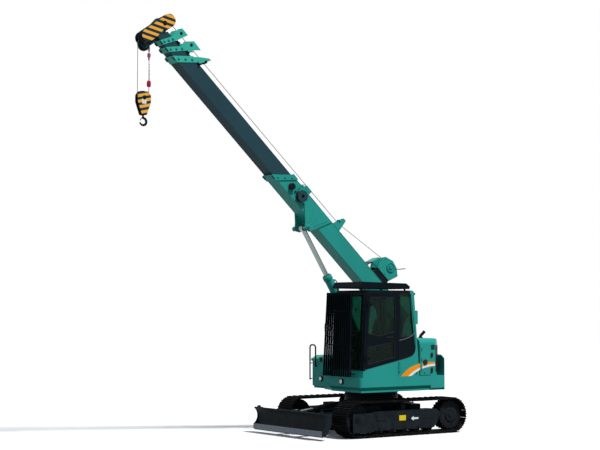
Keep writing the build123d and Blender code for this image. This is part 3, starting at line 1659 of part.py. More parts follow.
# columns: half width and height over the sheave's axis, down one edge of a side plate
block_outline = [(85, 105), (block_half_length, 35), (block_half_length, -80), (50, -305)]
with BuildPart() as hook_block:
    for face in (-1, 1):
        with BuildSketch(side(boom_y + face * (block_half_width - block_plate / 2))):
            with BuildLine():
                Polyline(
                    *[(sheave_x + reach, block_sheave_z + rise) for reach, rise in block_outline],
                    *[(sheave_x - reach, block_sheave_z + rise) for reach, rise in reversed(block_outline)],
                    close=True,
                )
            make_face()
        extrude(amount=block_plate / 2, both=True)
    with BuildSketch(side(boom_y)):
        with Locations((sheave_x, block_sheave_z - 240)):
            Rectangle(80, 120)
        with Locations((sheave_x, block_sheave_z)):
            Circle(22)
    extrude(amount=block_half_width - block_plate / 2, both=True)
    with BuildSketch(Plane.XY.offset(block_sheave_z - 310)):
        with Locations((sheave_x, boom_y)):
            Circle(18 + running)
    extrude(amount=150, mode=Mode.SUBTRACT)
save(hook_block, "hook_block")

with BuildPart() as block_sheave:
    add(sheave(side(boom_y), sheave_x, block_sheave_z))
save(block_sheave, "block_sheave")

# The hook is one plate cut to shape under a round shank: the bowl's outside is a larger circle set a little
# behind and below its inside, so it is thickest at the bottom and thins towards the tip.
hook_centre_z = 5510.0
hook_inner_radius = 42.0
hook_outer_radius = 84.0
hook_thickness = 36.0
shank_radius = 18.0
with BuildPart() as hook:
    with BuildSketch(side(boom_y)):
        with Locations((sheave_x - 6, hook_centre_z - 2)):
            Circle(hook_outer_radius)
        with Locations((sheave_x, hook_centre_z)):
            Circle(hook_inner_radius, mode=Mode.SUBTRACT)
        with BuildLine():
            Polyline(
                (sheave_x, hook_centre_z),
                (sheave_x + 2 * hook_outer_radius, hook_centre_z + 20),
                (sheave_x + 2 * hook_outer_radius, hook_centre_z + 2 * hook_outer_radius),
                (sheave_x + 30, hook_centre_z + 2 * hook_outer_radius),
                close=True,
            )
        make_face(mode=Mode.SUBTRACT)
        with Locations((sheave_x, hook_centre_z + 75)):
            Rectangle(2 * shank_radius, 60)
    extrude(amount=hook_thickness / 2, both=True)
    chamfer(hook.faces().filter_by(Axis.Y).edges(), 6)
    with BuildSketch(Plane.XY.offset(hook_centre_z + 80)):
        with Locations((sheave_x, boom_y)):
            Circle(shank_radius)
    extrude(amount=block_sheave_z - 190 - hook_centre_z - 80)
save(hook, "hook")
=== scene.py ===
import json
import math

import bmesh
import bpy
import numpy as np
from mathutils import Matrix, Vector


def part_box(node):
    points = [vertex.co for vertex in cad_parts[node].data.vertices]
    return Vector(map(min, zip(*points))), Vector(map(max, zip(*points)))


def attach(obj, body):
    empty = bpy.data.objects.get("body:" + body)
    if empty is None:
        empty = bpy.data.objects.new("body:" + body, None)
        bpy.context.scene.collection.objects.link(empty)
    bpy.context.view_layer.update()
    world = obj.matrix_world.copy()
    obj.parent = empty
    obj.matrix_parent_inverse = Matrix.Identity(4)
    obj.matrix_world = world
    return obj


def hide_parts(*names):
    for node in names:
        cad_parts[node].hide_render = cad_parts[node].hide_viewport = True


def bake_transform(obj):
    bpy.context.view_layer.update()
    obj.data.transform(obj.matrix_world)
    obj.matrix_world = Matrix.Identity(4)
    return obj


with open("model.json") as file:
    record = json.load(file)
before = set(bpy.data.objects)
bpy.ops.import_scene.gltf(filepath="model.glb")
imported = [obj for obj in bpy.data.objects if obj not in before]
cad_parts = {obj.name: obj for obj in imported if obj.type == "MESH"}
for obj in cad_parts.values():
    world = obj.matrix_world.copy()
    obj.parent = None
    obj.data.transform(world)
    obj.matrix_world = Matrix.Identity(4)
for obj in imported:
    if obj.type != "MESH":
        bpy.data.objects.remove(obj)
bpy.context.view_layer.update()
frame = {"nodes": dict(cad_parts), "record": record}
cadNodes = frame["nodes"]
joints = {joint["name"]: joint for joint in frame["record"]["behaviour"]["joints"]}
print("frame loaded:", len(cadNodes), "nodes")

# the view: a long lens from the front left corner, a little above the deck
view = {"place": (16.1435, 20.7167, 2.3148), "pitch": 93.44, "roll": 0.0, "heading": 145.0, "lens": 83.02}
cameraData = bpy.data.cameras.new("viewCamera")
cameraData.lens = view["lens"]
cameraData.sensor_width = 36.0
camera = bpy.data.objects.new("viewCamera", cameraData)
camera.location = view["place"]
camera.rotation_euler = [math.radians(view[key]) for key in ("pitch", "roll", "heading")]
bpy.context.scene.collection.objects.link(camera)
bpy.context.scene.camera = camera
bpy.context.scene.view_settings.view_transform = "Standard"


# shader maths


class Wire:
    # a socket that takes part in Python expressions: every operator adds one Math node
    def __init__(self, paint, socket):
        self.paint, self.socket = paint, socket

    def out(self, name):
        return Wire(self.paint, self.socket.node.outputs[name])

    def maths(self, operation, *others):
        return self.paint.node("ShaderNodeMath", {"operation": operation}, self, *others)

    def __add__(self, other):
        return self.maths("ADD", other)

    def __sub__(self, other):
        return self.maths("SUBTRACT", other)

    def __rsub__(self, other):
        return self.paint.node("ShaderNodeMath", {"operation": "SUBTRACT"}, other, self)

    def __mul__(self, other):
        return self.maths("MULTIPLY", other)

    def __truediv__(self, other):
        return self.maths("DIVIDE", other)

    def __gt__(self, other):
        return self.maths("GREATER_THAN", other)

    def __lt__(self, other):
        return self.maths("LESS_THAN", other)

    __radd__ = __add__
    __rmul__ = __mul__


class Paint:
    # one material: its shader's fixed sockets, and the method that adds any other node
    def __init__(self, name, **fixed):
        self.material = bpy.data.materials.new(name)
        self.material.use_nodes = True
        self.tree = self.material.node_tree
        self.shader = self.tree.nodes["Principled BSDF"]
        for key, value in fixed.items():
            self.join(self.shader.inputs[key.replace("_", " ")], value)

    def join(self, socket, value):
        if isinstance(value, Wire):
            self.tree.links.new(value.socket, socket)
        elif isinstance(value, (tuple, list)) and socket.type == "RGBA":
            socket.default_value = (*value[:3], 1.0)
        else:
            socket.default_value = value

    def node(self, kind, settings=None, *values, **named):
        made = self.tree.nodes.new(kind)
        for key, value in (settings or {}).items():
            if key == "stops":
                ramp = made.color_ramp
                while len(ramp.elements) < len(value):
                    ramp.elements.new(0.5)
                for stop, (place, shade) in zip(ramp.elements, value):
                    stop.position, stop.color = place, (*shade,
                                                        1.0) if isinstance(shade,
                                                                           tuple) else (shade,) * 3 + (1.0,)
            else:
                setattr(made, key, value)
        for socket, value in zip([s for s in made.inputs if s.enabled], values):
            self.join(socket, value)
        for key, value in named.items():
            self.join(made.inputs[key], value)
        return Wire(self, next(s for s in made.outputs if s.enabled))

    def place(self):
        # object coordinates as a vector and its three parts
        coords = self.node("ShaderNodeTexCoord").out("Object")
        parts = self.node("ShaderNodeSeparateXYZ", None, coords)
        return coords, parts.out("X"), parts.out("Y"), parts.out("Z")

    def noise(self, coords, scale, detail=2.0, rough=0.5):
        return self.node("ShaderNodeTexNoise", None, Vector=coords, Scale=scale, Detail=detail,
                         Roughness=rough)

    def stretched(self, coords, scales):
        return self.node("ShaderNodeMapping", None, coords, (0.0, 0.0, 0.0), (0.0, 0.0, 0.0), scales)

    def ramp(self, value, low, high):
        # 0 below low, 1 above high, straight between
        return self.node("ShaderNodeMapRange", None, value, low, high, 0.0, 1.0)

    def mix(self, share, first, second):
        return self.node("ShaderNodeMix", {"data_type": "RGBA"}, share, first, second)

    def toned(self, broad, colour):
        # a little darker and a little lighter in broad patches
        darker, lighter = [c * 0.93 for c in colour], [min(c * 1.06, 1.0) for c in colour]
        return self.mix(self.ramp(broad, 0.3, 0.7), darker, lighter)

    def scuffs(self, coords):
        # marks where a fine noise peaks
        return self.ramp(self.noise(coords, 23.0, 8.0, 0.72), 0.62, 0.76)

    def bump(self, height, strength, distance):
        bumped = self.node("ShaderNodeBump", None, Strength=strength, Distance=distance, Height=height)
        self.join(self.shader.inputs["Normal"], bumped)

    def finish(self, colour=None, rough=None, metal=None):
        for name, value in (("Base Color", colour), ("Roughness", rough), ("Metallic", metal)):
            if value is not None:
                self.join(self.shader.inputs[name], value)
        return self.material


paintWork = {
    "teal": (0.022, 0.305, 0.262),
    "tealWorn": (0.026, 0.215, 0.190),
    "black": (0.0045, 0.0085, 0.0125),
    "blackWorn": (0.011, 0.014, 0.018),
    "frame": (0.0065, 0.0115, 0.0160),
    "slate": (0.024, 0.062, 0.078),
    "dust": (0.16, 0.15, 0.13),
    "orange": (0.88, 0.30, 0.010),
    "amber": (0.92, 0.44, 0.055),
    "white": (0.80, 0.81, 0.82),
    "pale": (0.21, 0.58, 0.50),
    "yellow": (0.72, 0.56, 0.012),
    "red": (0.42, 0.012, 0.07),
}


def coatedPaint(name, colour, worn, rough, dustTop=0.0, coat=0.02, grain=240.0, gloss=0.05):
    # sprayed paint: broad tone changes, fine orange peel, scuffs where a noise peaks, dust low down
    paint = Paint(name, Coat_Weight=coat, Coat_Roughness=0.12, Specular_IOR_Level=gloss)
    coords, x, y, z = paint.place()
    broad = paint.noise(coords, 1.3, 3.0)
    scuffs = paint.scuffs(coords)
    tone = paint.mix(scuffs * 0.35, paint.toned(broad, colour), worn)
    if dustTop:
        settled = (1.0 - paint.ramp(z, 0.0, dustTop)) * paint.ramp(paint.noise(coords, 6.0, 6.0, 0.7), 0.35,
                                                                   0.75)
        tone = paint.mix(settled * 0.13, tone, paintWork["dust"])
    paint.bump(paint.noise(coords, grain), 0.09, 0.002)
    return paint.finish(tone, scuffs * 0.22 + (broad * 0.08 + rough - 0.04))


def hazardPaint(name, axis, pitch, share, dark, warm):
    # slanted stripes: the saw of a coordinate along one axis, cut at the dark share, a little scuffed
    paint = Paint(name, Coat_Weight=0.02, Coat_Roughness=0.2, Specular_IOR_Level=0.05)
    coords, x, y, z = paint.place()
    run = x * axis[0] + y * axis[1] + z * axis[2]
    saw = (run / pitch + 50.0).maths("FRACT")
    scuffs = paint.ramp(paint.noise(coords, 46.0, 8.0, 0.72), 0.60, 0.74)
    tone = paint.mix(saw < share, warm, dark)
    tone = paint.mix(scuffs * 0.4, tone, (0.10, 0.09, 0.08))
    paint.bump(paint.noise(coords, 260.0), 0.08, 0.002)
    return paint.finish(tone, scuffs * 0.25 + 0.36)


def brushedSteel(name, colour, rough, axis=(1.0, 1.0, 60.0), metal=1.0, rust=0.0):
    # fine lines along one direction, from a noise squeezed across it
    paint = Paint(name)
    coords = paint.place()[0]
    lines = paint.noise(paint.stretched(coords, axis), 14.0, 5.0, 0.6)
    tone = paint.mix(paint.ramp(lines, 0.3, 0.7), [c * 0.8 for c in colour], colour)
    if rust:
        spots = paint.ramp(paint.noise(coords, 34.0, 8.0, 0.75), 0.56, 0.72)
        tone = paint.mix(spots * rust, tone, (0.13, 0.055, 0.025))
    paint.bump(lines, 0.12, 0.001)
    return paint.finish(tone, lines * 0.2 + (rough - 0.1), metal)


def mouldedPlastic(name, colour, rough=0.55, grain=420.0):
    paint = Paint(name, Specular_IOR_Level=0.15)
    coords = paint.place()[0]
    pebble = paint.node("ShaderNodeTexVoronoi", None, Vector=coords, Scale=grain)
    tone = paint.mix(paint.ramp(paint.noise(coords, 3.0, 4.0), 0.3, 0.7), [c * 0.85 for c in colour], colour)
    paint.bump(pebble, 0.18, 0.0008)
    return paint.finish(tone, paint.noise(coords, 30.0, 4.0) * 0.14 + (rough - 0.07))


def castIron(name, colour, rough=0.6, pit=70.0, metal=0.0):
    paint = Paint(name, Specular_IOR_Level=0.03)
    coords = paint.place()[0]
    skin = paint.noise(coords, pit, 8.0, 0.68)
    tone = paint.mix(paint.ramp(skin, 0.35, 0.65), [c * 0.75 for c in colour], colour)
    dusty = paint.ramp(paint.noise(coords, 7.0, 6.0, 0.7), 0.5, 0.75)
    tone = paint.mix(dusty * 0.14, tone, paintWork["dust"])
    paint.bump(skin, 0.35, 0.003)
    return paint.finish(tone, skin * 0.2 + (rough - 0.1), metal)


def windowGlass(name, colour):
    # tinted pane: clear, with a faint broad film that darkens the tint
    paint = Paint(name, Transmission_Weight=0.97, IOR=1.18)
    coords = paint.place()[0]
    film = paint.ramp(paint.noise(coords, 1.6, 2.0, 0.4), 0.35, 0.85)
    return paint.finish(paint.mix(film * 0.15, colour, [c * 0.7 for c in colour]), 0.0)


def wovenCloth(name, colour):
    # two crossed sine ribs make the weave, darker in the gaps
    paint = Paint(name, Sheen_Weight=0.25)
    coords, x, y, z = paint.place()
    warp = ((y * 2600.0).maths("SINE") + 1.0) * 0.5
    weft = (((x + z) * 2600.0).maths("SINE") + 1.0) * 0.5
    weave = warp.maths("MAXIMUM", weft)
    tone = paint.mix(weave, [c * 0.6 for c in colour], colour)
    paint.bump(weave, 0.3, 0.001)
    return paint.finish(tone, paint.noise(coords, 60.0) * 0.1 + 0.8)


def strandedRope(name, colour, lay=46.0):
    # strands as slanted ribs along the rope's own length, from its uv map
    paint = Paint(name)
    uv = paint.node("ShaderNodeTexCoord").out("UV")
    parts = paint.node("ShaderNodeSeparateXYZ", None, uv)
    ribs = ((parts.out("X") * 6.0 + parts.out("Y") * lay).maths("FRACT") - 0.5).maths("ABSOLUTE")
    grime = paint.noise(uv, 9.0, 6.0)
    tone = paint.mix(ribs * 2.0, colour, [c * 0.35 for c in colour])
    tone = paint.mix(paint.ramp(grime, 0.45, 0.75) * 0.4, tone, (0.03, 0.03, 0.03))
    paint.bump(1.0 - ribs * 2.0, 0.6, 0.0015)
    return paint.finish(tone, grime * 0.2 + 0.35, 0.7)


def trackRubber(name):
    # black shoes: dry grey scuffs and dust in patches where noises peak
    paint = Paint(name, Specular_IOR_Level=0.02)
    coords = paint.place()[0]
    grain = paint.noise(coords, 55.0, 8.0, 0.7)
    scuffs = paint.ramp(grain, 0.52, 0.72)
    tone = paint.mix(scuffs * 0.5, (0.0045, 0.005, 0.006), (0.030, 0.031, 0.033))
    dusty = paint.ramp(paint.noise(coords, 8.0, 5.0, 0.7), 0.5, 0.8)
    tone = paint.mix(dusty * 0.16, tone, paintWork["dust"])
    paint.bump(grain, 0.4, 0.004)
    return paint.finish(tone, grain * 0.3 + 0.42)


def headlampFace(name):
    # fluted lens: upright ribs under clear gloss
    paint = Paint(name, Coat_Weight=1.0, Coat_Roughness=0.03)
    y = paint.place()[2]
    ribs = ((y * 900.0).maths("SINE") + 1.0) * 0.5
    paint.bump(ribs, 0.4, 0.002)
    return paint.finish(paint.mix(ribs, (0.42, 0.44, 0.46), (0.86, 0.88, 0.90)), 0.12 + ribs * 0.08)


slope = [joints["telescope_2"]["axis"][0], joints["telescope_2"]["axis"][2]]
finishes = {"teal_paint": coatedPaint("tealPaint", paintWork["teal"], paintWork["tealWorn"], 0.34),
            "black_paint": coatedPaint("blackPaint", paintWork["black"], paintWork["blackWorn"], 0.46,
                                       coat=0.0, gloss=0.02),
            "frame_paint": coatedPaint("framePaint", paintWork["frame"], (0.024, 0.028, 0.032), 0.48, 1.1,
                                       0.0, gloss=0.03),
            "slate_paint": coatedPaint("slatePaint", paintWork["slate"], (0.05, 0.075, 0.085), 0.44, coat=0.0,
                                       gloss=0.03),
            # painted light: a lighter teal that stands in for the brighter light on the collars' sides, worn
            # back to the plain teal
            "collar_paint": coatedPaint("collarPaint", (0.046, 0.450, 0.345), paintWork["teal"], 0.34),
            "track_shoe": trackRubber("trackShoe"),
            "running_gear": castIron("runningGear", (0.012, 0.014, 0.018), 0.6),
            "worn_edge": brushedSteel("wornEdge", (0.10, 0.125, 0.155), 0.5, (2.0, 2.0, 30.0), 0.75, 0.25),
            "weight_iron": castIron("weightIron", (0.020, 0.26, 0.25), 0.45, 130.0),
            "machined_steel": brushedSteel("machinedSteel", (0.22, 0.22, 0.23), 0.4, (1.0, 40.0, 1.0), 0.9,
                                           0.2), "rod_steel": brushedSteel("rodSteel", (0.24, 0.30, 0.29),
                                                                           0.30, (4.0, 4.0, 4.0)),
            "window_glass": windowGlass("windowGlass", (0.055, 0.21, 0.16)),
            "seat_cloth": wovenCloth("seatCloth", (0.05, 0.055, 0.06)),
            "dark_plastic": mouldedPlastic("darkPlastic", (0.014, 0.015, 0.017)),
            "hazard_paint": hazardPaint("hazardPaint",
                                        (slope[0] * 0.5 - slope[1], 0.0, slope[1] * 0.5 + slope[0]), 0.17,
                                        0.48, (0.02, 0.022, 0.026), paintWork["orange"]),
            "head_stripes": hazardPaint("headStripes",
                                        (slope[0] * 0.62 - slope[1], 0.0, slope[1] * 0.62 + slope[0]), 0.118,
                                        0.50, (0.014, 0.034, 0.044), paintWork["amber"]),
            "block_stripes": hazardPaint("blockStripes", (0.24, 0.0, 1.0), 0.098, 0.48, (0.014, 0.034, 0.044),
                                         paintWork["amber"]),
            "engine_iron": castIron("engineIron", (0.05, 0.05, 0.052), 0.6),
            "pale_paint": coatedPaint("palePaint", paintWork["pale"], (0.3, 0.45, 0.42), 0.36),
            "rope_steel": brushedSteel("ropeSteel", (0.30, 0.30, 0.31), 0.4, (30.0, 30.0, 2.0)),
            "red_paint": coatedPaint("redPaint", paintWork["red"], (0.25, 0.05, 0.06), 0.35),
            "lamp_face": headlampFace("lampFace"), "rope": strandedRope("ropeStrands", (0.26, 0.26, 0.26)),
            "white_plate": coatedPaint("whitePlate", paintWork["white"], (0.5, 0.5, 0.5), 0.4),
            "orange_paint": coatedPaint("orangePaint", paintWork["orange"], (0.5, 0.25, 0.1), 0.36),
            "yellow_plate": coatedPaint("yellowPlate", paintWork["yellow"], (0.4, 0.35, 0.1), 0.42),
            "rubber": mouldedPlastic("sealRubber", (0.008, 0.008, 0.009), 0.7, 900.0),}
# finishes without a slot of their own take the nearest one
for subpart in frame["record"]["subparts"]:
    data = cadNodes[subpart["node"]].data
    data.materials.clear()
    data.materials.append(finishes[subpart["material_slot"]])
# the collars take the lighter teal: painted light for their brightly lit sides
for number in "234":
    cadNodes["boom_collar_" + number].data.materials[0] = finishes["collar_paint"]
cadNodes["slew_ring"].data.materials[0] = finishes["running_gear"]
cadNodes["tool_box_lid"].data.materials[0] = coatedPaint("lidPaint", (0.040, 0.40, 0.31),
                                                         paintWork["tealWorn"], 0.4)
print("finishes made:", len(finishes))


# shapes as arrays of points and lists of faces


def gridFaces(rows, columns, closeRows=False, closeColumns=False):
    # quads between neighbours of a grid; a closed way joins its last line to its first
    i, j = np.meshgrid(np.arange(rows - (not closeRows)), np.arange(columns - (not closeColumns)),
                       indexing="ij")
    below, beside = (i + 1) % rows, (j + 1) % columns
    corners = [i * columns + j, i * columns + beside, below * columns + beside, below * columns + j]
    return np.stack(corners, -1).reshape(-1, 4).tolist()


def merged(*shapes):
    points, faces, start = [], [], 0
    for some, theirs in shapes:
        points.append(some)
        faces += [[corner + start for corner in face] for face in theirs]
        start += len(some)
    return np.concatenate(points), faces


def placed(shape, origin, x=(1, 0, 0), y=(0, 1, 0), z=(0, 0, 1)):
    points, faces = shape
    return points @ np.array([x, y, z], float) + np.array(origin, float), faces


def spread(shape, places):
    # the same shape at many places
    return merged(*[(shape[0] + np.array(place, float), shape[1]) for place in places])


def lathe(profile, steps=32):
    # a profile of radius and height turned round local z; a ring when it comes back to its start
    profile = np.array(profile, float)
    ring = np.allclose(profile[0], profile[-1])
    profile = profile[:-1] if ring else profile
    turn = np.linspace(0, 2 * np.pi, steps, endpoint=False)
    radius, height = profile[:, :1], profile[:, 1:]
    points = np.stack([radius * np.cos(turn), radius * np.sin(turn), height + 0 * turn], -1).reshape(-1, 3)
    faces = gridFaces(len(profile), steps, closeRows=ring, closeColumns=True)
    if not ring:
        faces += [list(range(steps))[::-1], list(range((len(profile) - 1) * steps, len(profile) * steps))]
    return points, faces


def inset(outline, amount):
    # every corner moved inwards along the mean of its two edges' normals, mitred
    before, after = outline - np.roll(outline, 1, 0), np.roll(outline, -1, 0) - outline
    normals = [np.stack([-e[:, 1], e[:, 0]], -1) / np.linalg.norm(e, axis=1, keepdims=True)
               for e in (before, after)]
    middle = normals[0] + normals[1]
    return outline + middle * amount / np.maximum((middle * normals[0]).sum(1, keepdims=True), 0.4)


def prism(outline, depth, bevel=0.003):
    # an outline in local x and y, drawn along local z about its middle, with bevelled rims
    outline = np.array(outline, float)
    ahead = np.roll(outline, -1, 0)
    if (outline[:, 0] * ahead[:, 1] - outline[:, 1] * ahead[:, 0]).sum() < 0:
        outline = outline[::-1]
    inner, half = inset(outline, bevel), depth / 2
    rows = [(inner, -half), (outline, bevel - half), (outline, half - bevel), (inner, half)]
    points = np.concatenate([np.column_stack([line, np.full(len(line), height)]) for line, height in rows])
    count = len(outline)
    faces = gridFaces(4, count, closeColumns=True)
    return points, faces + [list(range(count))[::-1], list(range(3 * count, 4 * count))]


def rounded(width, height, radius, steps=5):
    # outline of a rectangle with round corners
    turn = (np.linspace(0, np.pi / 2, steps) + np.arange(4)[:, None] * np.pi / 2).ravel()
    signs = np.repeat([(1, 1), (-1, 1), (-1, -1), (1, -1)], steps, 0)
    middle = signs * [width / 2 - radius, height / 2 - radius]
    return middle + radius * np.stack([np.cos(turn), np.sin(turn)], -1)


def softened(corners, radius, steps=5):
    # a polygon whose corners are rounded by quadratic curves that start one radius along each side
    corners = np.array(corners, float)
    back, forth = np.roll(corners, 1, 0) - corners, np.roll(corners, -1, 0) - corners
    reach = [side / np.linalg.norm(side, axis=1, keepdims=True) * radius for side in (back, forth)]
    t = np.linspace(0, 1, steps)[None, :, None]
    first, last = (corners + reach[0])[:, None], (corners + reach[1])[:, None]
    return ((1 - t) ** 2 * first + 2 * t * (1 - t) * corners[:, None] + t**2 * last).reshape(-1, 2)


def box(x, y, z, bevel=0.003):
    return prism([(x / 2, -y / 2), (x / 2, y / 2), (-x / 2, y / 2), (-x / 2, -y / 2)], z, bevel)


def hexNut(across, height):
    turn = np.arange(6) * np.pi / 3
    return prism(np.stack([np.cos(turn), np.sin(turn)], -1) * across / math.sqrt(3), height, height * 0.12)


def smoothPath(points, each=8):
    # a curve through the points: each span is a cubic whose slopes come from the neighbours
    points = np.array(points, float)
    padded = np.concatenate([[2 * points[0] - points[1]], points, [2 * points[-1] - points[-2]]])
    a, b, c, d = padded[:-3, None], padded[1:-2, None], padded[2:-1, None], padded[3:, None]
    t = np.linspace(0, 1, each, endpoint=False)[None, :, None]
    curve = 0.5 * (2 * b + (c - a) * t + (2 * a - 5 * b + 4 * c - d) * t**2 + (3 * b - a - 3 * c + d) * t**3)
    return np.concatenate([curve.reshape(-1, 3), points[-1:]])


def pipe(path, radius, sides=12, upright=(0, 0, 1), closed=False, caps=True):
    # a round section carried along a path; radius may change along it, and upright is never along the path
    path = np.array(path, float)
    if closed:
        tangent = np.roll(path, -1, 0) - np.roll(path, 1, 0)
    else:
        tangent = np.gradient(path, axis=0)
    tangent /= np.linalg.norm(tangent, axis=1, keepdims=True)
    sideways = np.cross(tangent, np.array(upright, float))
    sideways /= np.linalg.norm(sideways, axis=1, keepdims=True)
    other = np.cross(tangent, sideways)
    turn = np.linspace(0, 2 * np.pi, sides, endpoint=False)[None, :, None]
    reach = np.broadcast_to(np.array(radius, float), len(path))[:, None, None]
    points = path[:, None] + reach * (np.cos(turn) * sideways[:, None] + np.sin(turn) * other[:, None])
    faces = gridFaces(len(path), sides, closeRows=closed, closeColumns=True)
    if caps and not closed:
        faces += [list(range(sides))[::-1], list(range((len(path) - 1) * sides, len(path) * sides))]
    return points.reshape(-1, 3), faces


def build(name, shape, finish, body, replaced=(), sharp=32.0):
    # the shape becomes an object at the origin, smooth but for edges sharper than the given angle
    points, faces = shape
    mesh = bpy.data.meshes.new(name)
    mesh.from_pydata(points.tolist(), [], faces)
    welded = bmesh.new()
    welded.from_mesh(mesh)
    bmesh.ops.remove_doubles(welded, verts=welded.verts, dist=1e-6)
    bmesh.ops.recalc_face_normals(welded, faces=welded.faces)
    welded.to_mesh(mesh)
    welded.free()
    mesh.polygons.foreach_set("use_smooth", [True] * len(mesh.polygons))
    mesh.set_sharp_from_angle(angle=math.radians(sharp))
    mesh.materials.append(finishes[finish])
    piece = bpy.data.objects.new(name, mesh)
    bpy.context.scene.collection.objects.link(piece)
    if body:
        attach(piece, body)
    if replaced:
        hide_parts(*replaced)
    return piece


def ends(node):
    low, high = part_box(node)
    return np.array(low), np.array(high)


# two working planes: one upright and lengthways, one that leans with the boom
boomY = joints["boom_lift"]["pos_m"][1]
along, across = np.array([slope[0], 0, slope[1]]), np.array([-slope[1], 0, slope[0]])


def onSide(shape, y, x=0.0, z=0.0):
    # local x forwards, local y upwards, local z to the right
    return placed(shape, (x, y, z), (1, 0, 0), (0, 0, 1), (0, -1, 0))


def onBoom(shape, lateral, run=0.0, rise=0.0):
    # local x along the boom, local y across it upwards, local z to the right
    origin = run * along + rise * across + np.array([0, boomY + lateral, 0])
    return placed(shape, origin, along, across, (0, -1, 0))


# tracks

track = {"shoes": 46, "grouser": 0.022, "plate": 0.014, "linkWidth": 0.05, "linkGauge": 0.075, "bolt": 0.018}


def trackLoop(name, node, body):
    low, high = ends(node)
    middle, radius = (low + high) / 2, (high[2] - low[2]) / 2 - track["grouser"]
    run, arc = high[0] - low[0] - 2 * (radius + track["grouser"]), math.pi * radius
    pitch = 2 * (run + arc) / track["shoes"]
    distance = (np.arange(track["shoes"]) + 0.5) * pitch
    # place and outward angle of each shoe: lower run, rear arc, upper run, front arc
    part = np.searchsorted(np.cumsum([run, arc, run]), distance, side="right")
    rest = distance - np.array([0, run, run + arc, 2 * run + arc])[part]
    turn = np.choose(part, [0 * rest - np.pi / 2, -np.pi / 2 - rest / radius, 0 * rest + np.pi / 2,
                            np.pi / 2 - rest / radius])
    reach = np.choose(part, [run / 2 - rest, 0 * rest - run / 2, rest - run / 2, 0 * rest + run / 2])
    centre = np.stack([middle[0] + reach + radius * np.cos(turn), 0 * turn + middle[1],
                       middle[2] + radius * np.sin(turn)], -1)
    width, half, rise, sheet = high[1] - low[1], pitch * 0.475, track["grouser"], track["plate"]
    bars = [(-0.78, rise * 0.55), (0.0, rise), (0.78, rise * 0.55)]
    top = [(x + side * half * 0.11 * lean, height * level)
           for x, height in ((b[0] * half, b[1]) for b in bars)
           for side, lean, level in ((-1, 1.6, 0), (-1, 1, 1), (1, 1, 1), (1, 1.6, 0))]
    section = [(-half, -sheet), (half, -sheet), (half, 0.0)] + top[::-1] + [(-half, 0.0)]
    shoe = prism(section, width, 0.002)
    rail = prism([(-half * 1.06, -0.033), (half * 1.06, -0.033), (half * 0.8, -sheet - 0.0005),
                  (-half * 0.8, -sheet - 0.0005)], track["linkWidth"], 0.002)
    nut = placed(hexNut(track["bolt"], 0.008), (0, 0, 0), (1, 0, 0), (0, 0, -1), (0, 1, 0))
    spots = [(x * half, 0.004, y) for x in (-0.38, 0.38) for y in (-0.11, -0.045, 0.045, 0.11)]
    one = merged(shoe, spread(rail, [(0, 0, -track["linkGauge"]), (0, 0, track["linkGauge"])]),
                 spread(nut, spots))
    outward = np.stack([np.cos(turn), 0 * turn, np.sin(turn)], -1)
    forward = np.stack([outward[:, 2], 0 * turn, -outward[:, 0]], -1)
    shoes = [placed(one, c, f, o, np.cross(f, o)) for c, f, o in zip(centre, forward, outward)]
    return build(name, merged(*shoes), "track_shoe", body, replaced=[node])


for hand in ("left", "right"):
    trackLoop("trackShoes" + hand.title(), "track_" + hand, "undercarriage")
print("tracks made")

# running gear

running = {"hubRadius": 0.125, "hubBolts": 14, "capRadius": 0.062, "rollerCap": 0.034, "teeth": 25,
           "toothDepth": 0.022, "wheelWidth": 0.240}
wheelCover = [(0.0, -0.002), (1.0, -0.002), (1.0, 0.005), (0.93, 0.010), (0.62, 0.011), (0.56, 0.004),
              (0.50, 0.004), (0.44, 0.018), (0.16, 0.021), (0.14, 0.016), (0.0, 0.016)]


def boltRing(radius, count, across, height, start=0.0):
    # nuts spaced evenly round local z
    turn = start + np.arange(count) * 2 * np.pi / count
    places = np.stack([radius * np.cos(turn), radius * np.sin(turn), 0 * turn + height / 2], -1)
    return spread(hexNut(across, height), places)


def onFront(shape, place):
    # local x to the left, local y upwards, local z forwards
    return placed(shape, place, (0, 1, 0), (0, 0, 1), (1, 0, 0))


def onFace(shape, sign, y, x, z):
    # local z points out of the machine's left (+1) or right (-1) side
    return placed(shape, (x, y, z), (1, 0, 0), (0, 0, -sign), (0, sign, 0))


